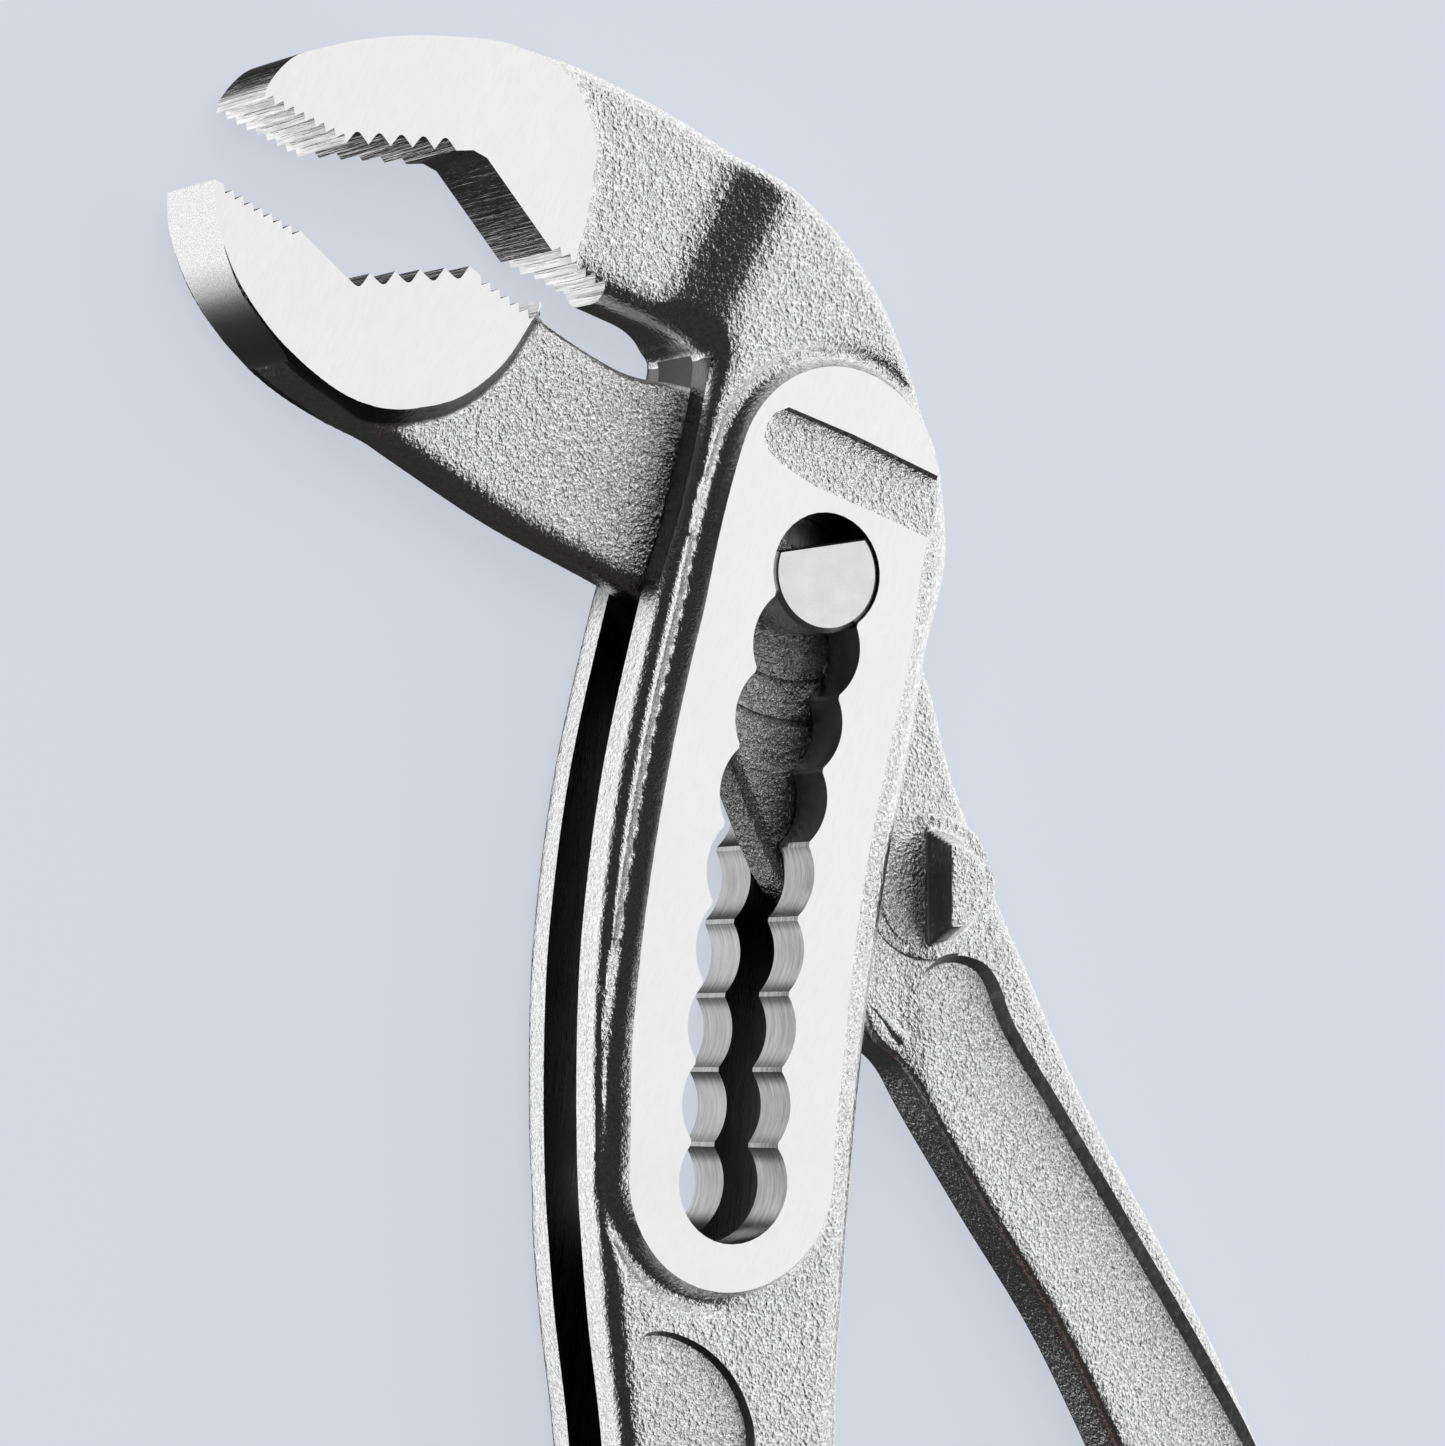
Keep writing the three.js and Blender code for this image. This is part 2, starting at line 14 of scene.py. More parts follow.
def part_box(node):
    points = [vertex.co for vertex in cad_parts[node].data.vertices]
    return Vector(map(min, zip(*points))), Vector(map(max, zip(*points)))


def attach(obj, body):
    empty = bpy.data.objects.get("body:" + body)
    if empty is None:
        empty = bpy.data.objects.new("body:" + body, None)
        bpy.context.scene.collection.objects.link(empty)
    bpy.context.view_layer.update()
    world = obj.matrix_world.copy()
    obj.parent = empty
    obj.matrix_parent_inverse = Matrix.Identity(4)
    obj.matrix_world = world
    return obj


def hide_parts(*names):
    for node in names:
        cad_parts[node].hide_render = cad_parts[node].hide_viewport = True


bl_info = {
    "name": "Water Pump Pliers",
    "version": (1, 0, 0),
    "blender": (4, 5, 0),
    "location": "View3D > Sidebar > Pliers",
    "description": "Builds forged, ground and moulded pliers over a packed frame",
    "category": "Object",
}

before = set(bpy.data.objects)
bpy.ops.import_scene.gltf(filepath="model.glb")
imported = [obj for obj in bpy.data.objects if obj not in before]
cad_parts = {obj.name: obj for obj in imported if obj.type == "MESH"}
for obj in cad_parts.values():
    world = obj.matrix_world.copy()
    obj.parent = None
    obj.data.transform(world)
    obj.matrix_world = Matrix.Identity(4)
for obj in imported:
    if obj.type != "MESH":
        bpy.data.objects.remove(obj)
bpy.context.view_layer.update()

MM = 0.001
OUTER_LOW, OUTER_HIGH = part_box("outer_half")
INNER_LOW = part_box("inner_half")[0]
BOLT_LOW, BOLT_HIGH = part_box("hinge_bolt")
MIDDLE = (BOLT_HIGH.z - BOLT_LOW.z) / 2

# Outer half: its spans, from the bolt's axis
UPPER_REACH = -OUTER_LOW.x
UPPER_RISE = OUTER_HIGH.y
RIM_RIGHT = 10.2 * MM
RIM_LEFT = 16.2 * MM
BOX_DROP = 57 * MM
GAP_TOP_RADIUS = 16.4 * MM
GAP_TOP_ARC = (0.3 * math.pi, 0.85 * math.pi)
GAP_TOP_RELIEF = 0.02 * MM
GAP_DROP = 64 * MM
GAP_END_SLOPE = 10 * MM
SLOT_RADIUS = 140 * MM
SLOT_LEAN = math.radians(18.2)
SEAT_PITCH = 5.08 * MM
SEAT_COUNT = 9
THROAT_HALF = 2.9 * MM

# Its boss, along and across the slot
BOSS_ABOVE_BOLT = 6 * MM
BOSS_END_CUT = 0.4 * MM
BOSS_SHIFT = 0.1 * MM
BOSS_TOP_SHIFT = 1.0 * MM
BOSS_SHIFT_RUN = (-6 * MM, 6 * MM)
BOSS_TAPER = 0.3 * MM
BOSS_TAPER_MIDDLE = 17 * MM
BOSS_TAPER_RUN = (14 * MM, 22 * MM)
BOSS_DRAFT = 0.46
BOSS_INSET = 0.05 * MM
BOSS_FILLET = 0.2 * MM

# Its neck, and the groove and roundings of its forged rims
NECK_PLACE = (-5.2 * MM, 22.4 * MM)
NECK_WAY = (-0.894, 0.447)
NECK_RUN = (-2.4 * MM, 3.4 * MM)
NECK_RISE = (8 * MM, 12 * MM)
OUTER_TANG_RUN = (66 * MM, 80 * MM)
GROOVE_DEPTH = 0.06 * MM
GROOVE_EXTRA = 0.46 * MM
GROOVE_RUN = (-3 * MM, 3 * MM)
GROOVE_LEAN = 0.3
GROOVE_PLACE = 1.05 * MM
GROOVE_WIDTH = 0.5 * MM
RIM_ROUNDING = 0.95 * MM
RIGHT_ROUNDING = 0.9 * MM
RIGHT_RUNS = ((2 * MM, 5 * MM), (-9 * MM, -1 * MM))
LEFT_ROUNDING = 0.35 * MM
LEFT_RUNS = ((4 * MM, 7 * MM), (-14 * MM, -6 * MM))
THROAT_ROUNDING = 1.3 * MM
THROAT_PLACE = (-18.1 * MM, 23.5 * MM)
THROAT_WAY = (0.572, 0.82)
THROAT_RUNS = ((-5 * MM, -2.5 * MM), (11 * MM, 15 * MM))
UPPER_PAD_DRAFT = 0.5
UPPER_PAD_FILLET = 0.15 * MM

# Inner half: its spans, rims and pad
LOWER_REACH = -INNER_LOW.x
LOWER_RISE = 24 * MM
ARM_REACH = 36 * MM
ARM_DROP = 58 * MM
HUB_RADIUS = 9.3 * MM
HUB_ARC = (0.4 * math.pi, -0.05 * math.pi)
HUB_GROOVES = ((6.85 * MM, 7.25 * MM), (9.45 * MM, 9.95 * MM))
HUB_GROOVE_DEPTH = 0.35 * MM
HUB_RIDGE = 0.1 * MM
HUB_RIDGE_RADIUS = 6.3 * MM
HUB_RIDGE_WIDTH = 0.4 * MM
ARM_THICKENS = ((10 * MM, 20 * MM), (23 * MM, 31 * MM))
SHANK_ROUNDING = 0.75 * MM
UNDER_ROUNDING = 0.85 * MM
UNDER_SLOPE = 0.47
UNDER_RUNS = ((0, 3 * MM), (5 * MM, 10 * MM))
LOWER_PAD_DRAFT = 0.6
LOWER_PAD_FILLET = 0.2 * MM

# Where the arm leaves the box, and the play of what slides in it
BOX_SIDE = 8.2 * MM
BOX_SIDE_SLOPE = 0.075
BOX_SIDE_DROP = 17 * MM
SLIDING_PLAY = 0.05 * MM
ARM_CLEARS = 3.2 * MM
BUMP_CLEARS = 2.4 * MM

# Guard lug and stop bump on the arm
FINE_GRAIN = 0.16 * MM
LUG_PLACE = np.array((10.1 * MM, -20.4 * MM))
LUG_SPACE = 6 * MM
LUG_HALF = 5.6 * MM
LUG_RADIUS = 2.75 * MM
LUG_DRAFT = 0.36
LUG_SIDE = 0.2 * MM
LUG_FILLET = 0.35 * MM
LUG_BASE_RADIUS = 5 * MM
LUG_BASE_RISE = (0.1 * MM, 0.45 * MM)
LUG_BASE_ROUNDING = 0.3 * MM
LUG_PAD_PLACE = (-1.15 * MM, -0.1 * MM)
LUG_PAD_RADIUS = 3.7 * MM
LUG_PAD_SQUEEZE = 1.4
LUG_PAD_ROUNDING = 0.2 * MM
BUMP_RISE = 0.4 * MM
BUMP_ROUNDING = 1.3 * MM

# Tangs and grips
TANG_END_DROP = -OUTER_LOW.y
TANG_CUT_DROP = 98 * MM
TANG_START_DROP = {"outer": 84 * MM, "inner": 62 * MM}
TANG_HALF = {"outer": 3.3 * MM, "inner": 2.8 * MM}
TANG_WIDTH = {"outer": 11 * MM, "inner": 10 * MM}
TANG_LEAN = {"outer": 14.5 * MM, "inner": 54.5 * MM}
GRIP_GRAIN = 0.55 * MM
GRIP_START_DROP = 88 * MM
GRIP_TAIL = 10 * MM
GRIP_WIDTH = 19 * MM
GRIP_HALF = 6.35 * MM
GRIP_THINNING = 0.5 * MM
GRIP_THINNING_RUN = (10 * MM, 24 * MM)
GRIP_ROUNDING = 4.6 * MM
GRIP_SHELL = 0.3 * MM
GRIP_END_ROUNDING = 5 * MM
INLAY_START = 20 * MM
INLAY_STOP = 14 * MM
INLAY_DEPTH = 1.5 * MM
INLAY_EDGE = 1.5 * MM
INLAY_EDGE_SWEEP = 5.5 * MM
INLAY_SWEEP_RUN = 20 * MM
SEAM = 0.12 * MM
RIB_DEPTH = 0.28 * MM
RIB_PITCH = 3.6 * MM
RIB_RUN = (1.2 * MM, 2.2 * MM)
POCKET_START_DROP = 78 * MM
POCKET_CLEARANCE = (0.5 * MM, 0.2 * MM)
POCKET_END = 0.6 * MM

# How finely curves and bodies are divided
CURVE_STEPS = 5
TANG_STEPS = 12
HUB_STEPS = 14
SEAT_STEPS = 14
GAP_TOP_STEPS = 40
GAP_TOP_CUT_STEPS = 24
FRONT_STEPS = 24
ARCH_PANEL_STEPS = 3
ARM_PANEL_STEPS = 4
TURNED_STEPS = 96
GRIP_STEPS = 24
GRIP_POINTS = 90
WIDTH_POINTS = 300
WIDTH_WINDOW = 31
SHORTEST_EDGE = 0.01 * MM
NO_LENGTH = 1e-18
RELAXING = (0.5, -0.52)

# Stock, cutters and teeth
GRID_MARGIN = 2 * MM
HEIGHT_MARGIN = 1.6 * MM
ARM_MARGIN = 4 * MM
JAW_MARGIN = 3 * MM
SMALL_MARGIN = 1 * MM
BOSS_STOCK = 0.9 * MM
PAD_STOCK = 0.8 * MM
BITE_STOCK = 1.2 * MM
CUT_HEIGHT = MIDDLE + 3 * MM
PANEL_DEPTH = 0.65 * MM
PANEL_DRAFT = 0.25 * MM
ARCH_PANEL_DRAFT = 0.625 * MM
ARM_PANEL_DEPTH = 0.95 * MM
ARM_PANEL_DRAFT = 1.1 * MM
TIP_WALL_CUT = 0.12 * MM
TIP_TEETH = 8
WIDE_TEETH = 5
THROAT_TEETH = 6
VALLEY_ROUND = 0.35
FORGING_CREASE = math.radians(30)
BOLT_CREASE = math.radians(25)
GRIP_CREASE = math.radians(50)

# Bolt
BOLT_CHAMFER = 0.32 * MM
BOLT_FLAT_DISTANCE = 1.92 * MM
BOLT_FLAT_TURN = math.radians(99.2)

# The finishes that a cut leaves, in the order of each forging's material slots; the near-black milled finish
# and the shaded, pad-wall and front-wall fades are painted shade
FORGED, GROUND, MILLED_AND_SHADE, SEAT, BITE, CAST, IN_BOX, FLANK, SHADED, PAD_WALL, FRONT_WALL = range(11)

# Where a forging's faces get another finish, painted shade among them
FLANK_STEEPNESS = 0.92
WALL_STEEPNESS = 0.7
LIT_WALL = 0.3
RIDGE_START = 7.4 * MM
BOX_WALL_TOP = 4.7 * MM
BOX_WALL_SIDE = 7 * MM
BOX_WALL_TURN = -0.5
BOX_WALL_MARGIN = (1 * MM, 2 * MM)
SHANK_PASSES = (-1.8 * MM, 14 * MM)
SHADE_FADE = 1.5 * MM
IN_BOX_HALF_WIDTH = 6 * MM
LUG_WALL_REACH = LUG_RADIUS + 1 * MM
LUG_WALL_TURN = -0.6
PAD_WALL_SIDE = 12 * MM
PAD_WALL_FOOT = 2.14 * MM
PAD_WALL_FADE = 0.3 * MM
# Heights between which painted shade fades in down the lower jaw's tip wall
FRONT_WALL_FADES = (18.8 * MM, 15.2 * MM)


def size(name, description, value, **limits):
    """Length that someone may want to change, given in millimetres."""
    return bpy.props.FloatProperty(
        name=name, description=description, default=value * MM, unit="LENGTH", **limits)


def tint(name, description, value):
    """Colour that someone may want to change."""
    return bpy.props.FloatVectorProperty(
        name=name, description=description, default=value, size=3, subtype="COLOR")


class PliersSizes(bpy.types.PropertyGroup):
    """Sizes that someone may want to change"""
    grain: size(
        "Forging Grain", "Spacing of the grid that the forgings are shaped on", 0.33, min=0.2 * MM)
    boss_half_width: size("Boss Half Width", "Half the width of the ground boss round the slot", 7.75)
    cheek_half: size("Cheek Half Thickness", "From the middle plane to the forged cheek", 5.7)
    jaw_half: size("Jaw Half Thickness", "From the middle plane to the ground jaw", 3.8)
    neck_half: size("Neck Half Thickness", "From the middle plane to the neck", 3.35)
    gap_half: size("Gap Half Width", "Half the width of the milled gap", 2.4)
    shank_half: size("Shank Half Thickness", "Half the thickness of the loose half's shank", 2.1)
    arm_half: size("Arm Half Thickness", "Half the thickness of the loose half's arm", 2.5)
    bolt_radius: size("Bolt Radius", "Radius of the hinge bolt", 3.93)
    seat_radius: size("Seat Radius", "Radius of each seat in the slot", 3.99)
    cusp_half_width: size(
        "Cusp Half Width", "From the slot's middle line to the tips between its seats", 3.2)
    tooth_depth: size("Tooth Depth", "Depth of the wide teeth", 0.95)
    fine_tooth_depth: size("Fine Tooth Depth", "Depth of the fine teeth", 0.5)


class PliersFinishes(bpy.types.PropertyGroup):
    """Colours that someone may want to change"""
    forged: tint("Forged Chrome", "Chrome over the shot-blasted forging", (0.92, 0.92, 0.925))
    ground: tint("Ground Steel", "Ground faces of boss, jaws and bolt", (0.905, 0.905, 0.905))
    # Milled steel kept near black, so that it paints shade in the gap and on walls away from the light
    milled_and_shade: tint("Milled Steel and Painted Shade", "Milled gap, and painted shade on dark walls", (0.15, 0.15, 0.153))
    in_box: tint("Steel In Box", "Forged faces inside the box, darker than the rest", (0.52, 0.52, 0.525))
    core: tint("Grip Core", "Hard plastic of the grips", (0.42, 0.05, 0.04))
    inlay: tint("Grip Inlay", "Soft plastic of the grips", (0.05, 0.052, 0.058))
    backdrop: tint("Backdrop", "Pale floor and surroundings", (0.655, 0.69, 0.775))


# Outlines, as shares of the sizes that they follow

UPPER_BACK_SHARES = [
    (-1.003, 0.83), (-0.998, 0.88), (-0.952, 0.938), (-0.893, 0.962), (-0.824, 0.982),
    (-0.727, 0.997), (-0.622, 1), (-0.515, 0.988), (-0.426, 0.968), (-0.34, 0.932),
    (-0.235, 0.882), (-0.125, 0.815), (-0.035, 0.744), (0.055, 0.652), (0.125, 0.541),
    (0.173, 0.426), (0.212, 0.312), (0.24, 0.22),
]
UPPER_TIP_POINTS = 7
RIGHT_RIM_SHARES = [
    (1, 0.04), (0.95, -0.02), (0.86, -0.075), (0.78, -0.15), (0.69, -0.23), (0.59, -0.31),
    (0.5, -0.4), (0.4, -0.51), (0.31, -0.65), (0.24, -0.8), (0.18, -0.93), (0.17, -1.02),
    (0.1, -1.2),
]
LEFT_RIM_SHARES = [
    (-0.85, -1.2), (-0.89, -1), (-0.96, -0.84), (-1, -0.68), (-1, -0.5), (-0.965, -0.37),
    (-0.88, -0.215), (-0.72, -0.03), (-0.6, 0.08),
]
THROAT_SHARES = [
    (-0.2, 0.385), (-0.222, 0.438), (-0.262, 0.469), (-0.33, 0.498), (-0.385, 0.52),
]
THROAT_CLEAR_SHARES = [(-0.26, 0.3), (-0.5, 0.5)]
UPPER_BITE_SHARES = {
    "tip": (-1, 0.853), "wide_start": (-0.855, 0.782), "wide_end": (-0.656, 0.782),
    "corner_high": (-0.625, 0.785), "corner_low": (-0.6, 0.772),
    "throat_start": (-0.48, 0.603), "throat_end": (-0.37, 0.538),
}
UPPER_MOUTH_SHARES = [(-0.38, 0.4), (-0.9, 0.4), (-1.3, 0.6), (-1.3, 0.853)]
UPPER_TIP_CLEAR_SHARES = [(-0.6, 1.3), (-1.3, 1.3), (-1.3, 0.8)]
UPPER_PAD_SHARES = [
    (-0.6, 1.02), (-0.545, 0.988), (-0.503, 0.974), (-0.462, 0.95), (-0.431, 0.916), (-0.405, 0.845),
    (-0.399, 0.8), (-0.405, 0.749), (-0.417, 0.665), (-0.436, 0.595), (-0.44, 0.54),
]
UPPER_PAD_FRONT_SHARES = [(-0.6, 0.45), (-1.2, 0.6), (-1.2, 1.2), (-0.62, 1.2)]
UPPER_PAD_REGION_SHARES = [
    (-0.38, 1.3), (-0.35, 0.9), (-0.345, 0.75), (-0.36, 0.6), (-0.4, 0.45), (-1.3, 0.45), (-1.3, 1.3)]
BOSS_PANEL_SHARES = [
    (-0.416, 0.786), (-0.448, 0.851), (-0.428, 0.931), (-0.375, 1.006), (-0.278, 1.047),
    (0.191, 0.892), (0.79, 0.659), (1.2, 0.5), (1.2, 0.09), (0.831, 0.239), (0.274, 0.443),
    (-0.086, 0.57), (-0.333, 0.706),
]
ARCH_PANEL_SHARES = [
    (-0.77, -0.985), (-0.8, -0.945), (-0.817, -0.911), (-0.82, -0.892), (-0.8, -0.879),
    (-0.769, -0.873), (-0.672, -0.875), (-0.533, -0.893), (-0.412, -0.926), (-0.342, -0.966),
    (-0.324, -1), (-0.33, -1.1), (-0.36, -1.2), (-0.45, -1.26), (-0.58, -1.26), (-0.68, -1.22),
    (-0.74, -1.12),
]
LOWER_FRONT_SHARES = [(-0.785, 0.42), (-0.87, 0.52), (-0.955, 0.7), (-0.997, 0.885), (-1, 1.03)]
LOWER_FRONT_CLEAR_SHARES = [(-1.02, 1.3), (-1.3, 1.3), (-1.3, 0.6)]
LOWER_BITE_SHARES = {
    "tip": (-1, 0.99), "tip_start": (-0.985, 0.978), "tip_end": (-0.86, 0.866),
    "wide_start": (-0.787, 0.755), "wide_end": (-0.58, 0.8),
    "throat_start": (-0.562, 0.776), "throat_end": (-0.466, 0.675),
}
LOWER_MOUTH_SHARES = [(-0.44, 0.9), (-0.44, 1.4), (-1.3, 1.4), (-1.3, 0.99)]
LOWER_PAD_SHARES = [
    (-0.44, 0.74), (-0.471, 0.675), (-0.522, 0.546), (-0.588, 0.454), (-0.651, 0.417), (-0.716, 0.406),
    (-0.779, 0.433), (-0.842, 0.5), (-0.904, 0.596), (-0.955, 0.712), (-0.982, 0.812), (-0.998, 0.912),
    (-1, 1.1),
]
LOWER_PAD_FRONT_SHARES = [(-1, 1.5), (-0.44, 1.5)]
LOWER_PAD_REGION_SHARES = [(-0.42, 1.4), (-0.42, 0.7), (-0.48, 0.5), (-0.62, 0.35), (-1.3, 0.3), (-1.3, 1.4)]
SHANK_UPPER_SHARES = [(-0.44, 0.68), (-0.36, 0.6), (-0.28, 0.538), (-0.18, 0.515), (-0.09, 0.45)]
SHANK_LOWER_SHARES = [
    (-0.165, -0.29), (-0.225, -0.13), (-0.304, -0.042), (-0.494, 0.113), (-0.65, 0.27),
    (-0.72, 0.345),
]
ARM_RIGHT_SHARES = [
    (0.262, -0.07), (0.3, -0.137), (0.336, -0.217), (0.405, -0.326), (0.478, -0.426),
    (0.611, -0.59), (0.778, -0.757), (0.922, -0.909),
]
ARM_LEFT_SHARES = [
    (0.58, -0.885), (0.42, -0.74), (0.303, -0.633), (0.225, -0.56), (0.155, -0.52),
    (0.085, -0.42), (-0.022, -0.352), (-0.11, -0.24),
]
ARM_PANEL_SHARES = [
    (0.272, -0.49), (0.27, -0.466), (0.29, -0.447), (0.335, -0.438), (0.383, -0.445),
    (0.412, -0.466), (0.45, -0.519), (0.561, -0.619), (0.706, -0.752), (0.861, -0.895),
    (0.98, -1.01), (1.09, -1.13), (1.155, -1.24), (1.14, -1.27), (1.1, -1.26),
    (1, -1.15), (0.88, -1.05), (0.706, -0.905), (0.553, -0.75), (0.397, -0.6),
]
BUMP_SHARES = [
    (0.15, -0.482), (0.18, -0.482), (0.24, -0.512), (0.25, -0.529), (0.229, -0.542), (0.199, -0.535),
    (0.17, -0.51), (0.14, -0.49), (0.15, -0.482),
]
TANG_LINE_SHARES = {
    "outer": [
        (-0.41, 0.22), (-0.42, 0.33), (-0.56, 0.45), (-0.8, 0.62), (-0.97, 0.78), (-0.95, 0.92),
        (-0.84, 1)],
    "inner": [
        (0.33, 0.19), (0.56, 0.285), (0.75, 0.39), (0.89, 0.51), (0.97, 0.65), (1, 0.8),
        (0.97, 0.93), (0.93, 1)],
}
GRIP_WIDTH_SHARES = [1.06, 1.27, 1, 0.95, 0.98, 1.02, 1.04, 1.02, 0.98, 0.94, 0.9, 0.74]


def scaled(shares, width, height):
    """Points given as shares of a width and a height."""
    return np.array(shares, float) * (width, height)


def on_upper_jaw(shares):
    """Points of the outer half's head."""
    return scaled(shares, UPPER_REACH, UPPER_RISE)


def on_lower_jaw(shares):
    """Points of the inner half's head."""
    return scaled(shares, LOWER_REACH, LOWER_RISE)


def on_arm(shares):
    """Points of the inner half's arm."""
    return scaled(shares, ARM_REACH, ARM_DROP)


def smooth(points, steps=CURVE_STEPS):
    """Smooth open curve through the points."""
    points = np.asarray(points, float)
    run = []
    last = len(points) - 1
    for index in range(last):
        before = points[max(index - 1, 0)]
        start = points[index]
        end = points[index + 1]
        after = points[min(index + 2, last)]
        lead = (end - before) / 2
        tail = (after - start) / 2
        for step in range(steps):
            t = step / steps
            run.append(
                (2 * start - 2 * end + lead + tail) * t ** 3
                + (-3 * start + 3 * end - 2 * lead - tail) * t ** 2
                + lead * t + start)
    run.append(points[last])
    return np.array(run)


def arc(radius, start, end, steps):
    """Points on an arc round the bolt's axis, both ends included."""
    angles = np.linspace(start, end, steps + 1)
    return radius * np.stack([np.cos(angles), np.sin(angles)], 1)


def toothed(start, end, count, depth, valley_round=0.0):
    """Row of teeth up to, not with, its end; valleys lie left of the way, or right if negative."""
    step = (end - start) / count
    inward = np.array([-step[1], step[0]]) / np.linalg.norm(step) * depth
    row = []
    for tooth in range(count):
        tip = start + step * tooth
        valley = tip + step / 2 + inward
        row.append(tip)
        if valley_round:
            before = valley + (tip - valley) * valley_round
            after = valley + (tip + step - valley) * valley_round
            for t in (0, 0.25, 0.5, 0.75, 1):
                row.append(before * (1 - t) ** 2 + 2 * valley * t * (1 - t) + after * t ** 2)
        else:
            row.append(valley)
    return np.array(row)


def slot_centre():
    """Centre of the arc that the slot follows."""
    return np.array([math.cos(SLOT_LEAN), -math.sin(SLOT_LEAN)]) * SLOT_RADIUS


def beside_slot(down, left):
    """Point beside the slot's centre line: how far down it, and how far to its left."""
    angle = math.pi - SLOT_LEAN + down / SLOT_RADIUS
    return slot_centre() + np.array([math.cos(angle), math.sin(angle)]) * (SLOT_RADIUS + left)


def slot_places(x, y):
    """How far down the slot, and how far to its left, each point is."""
    centre = slot_centre()
    reach = np.hypot(x - centre[0], y - centre[1])
    angle = np.arctan2(y - centre[1], x - centre[0]) % (2 * math.pi)
    return (angle - math.pi + SLOT_LEAN) * SLOT_RADIUS, reach - SLOT_RADIUS


def sideways(line):
    """Unit way to the left of a line, at each of its points."""
    way = np.gradient(line, axis=0)
    way /= np.linalg.norm(way, axis=1)[:, None]
    return np.stack([-way[:, 1], way[:, 0]], 1)


def beside(line, start, end):
    """The line moved to its right, by a distance that changes from its start to its end."""
    return line - sideways(line) * np.linspace(start, end, len(line))[:, None]


def strip_sides(line, width):
    """Both sides of a strip along a middle line."""
    side = sideways(line) * width / 2
    return line + side, line - side


def tang_line(side, start, end):
    """Middle line of a tang, between two drops below the bolt."""
    line = smooth(scaled(TANG_LINE_SHARES[side], TANG_LEAN[side], -TANG_END_DROP), TANG_STEPS)
    return line[(-line[:, 1] > start) & (-line[:, 1] < end)]


def tang_sides(side):
    """Right and left sides of a tang, from the forging to its end inside the grip."""
    near, far = strip_sides(tang_line(side, TANG_START_DROP[side], TANG_CUT_DROP), TANG_WIDTH[side])
    if near[0, 0] > far[0, 0]:
        return near, far
    return far, near


# Soft shapes on a grid

class Grid:
    """Box of evenly spaced points that a forging is shaped on, about the middle plane."""

    def __init__(self, low, high, step):
        self.step = step
        self.low = np.array(low, float)
        counts = np.ceil((np.array(high, float) - self.low) / step).astype(int) + 1
        axes = [self.low[i] + step * np.arange(counts[i]) for i in range(3)]
        self.x, self.y = np.meshgrid(axes[0], axes[1], indexing="ij")
        self.height = np.abs(axes[2])[None, None, :]


def outline_distance(outline, x, y):
    """Distance from each point to a closed outline, negative inside."""
    nearest = np.full(x.shape, np.inf)
    inside = np.zeros(x.shape, bool)
    for (ax, ay), (bx, by) in zip(outline, np.roll(outline, -1, axis=0)):
        run_x = bx - ax
        run_y = by - ay
        squared = max(run_x ** 2 + run_y ** 2, NO_LENGTH)
        along = np.clip(((x - ax) * run_x + (y - ay) * run_y) / squared, 0, 1)
        nearest = np.minimum(nearest, (x - ax - along * run_x) ** 2 + (y - ay - along * run_y) ** 2)
        if ay != by:
            inside ^= ((ay > y) != (by > y)) & (x < ax + (y - ay) * run_x / run_y)
    distance = np.sqrt(nearest)
    return np.where(inside, -distance, distance)


def ramp(value, start, end):
    """0 before start, 1 after end, and a smooth rise between."""
    t = np.clip((value - start) / (end - start), 0, 1)
    return t * t * (3 - 2 * t)


def slab(distance, half, rounding, height):
    """Outline raised to a half thickness, with rounded rims."""
    distance, half, rounding = np.broadcast_arrays(distance, half, rounding)
    side = (distance + rounding)[:, :, None]
    top = height - (half - rounding)[:, :, None]
    outer = np.hypot(np.maximum(side, 0), np.maximum(top, 0))
    return outer + np.minimum(np.maximum(side, top), 0) - rounding[:, :, None]


def raised(distance, top, stock, draft, blank, height):
    """Raised face with drafted walls, and stock above its top that is ground off later."""
    body = distance[:, :, None] - draft * np.maximum(top - height, 0)
    body = np.maximum(body, height - top - stock)
    return np.maximum(body, blank[:, :, None])


def soft_union(a, b, reach):
    """Both bodies, with a fillet of about the reach between them."""
    share = np.clip(0.5 + 0.5 * (b - a) / reach, 0, 1)
    return b * (1 - share) + a * share - reach * share * (1 - share)


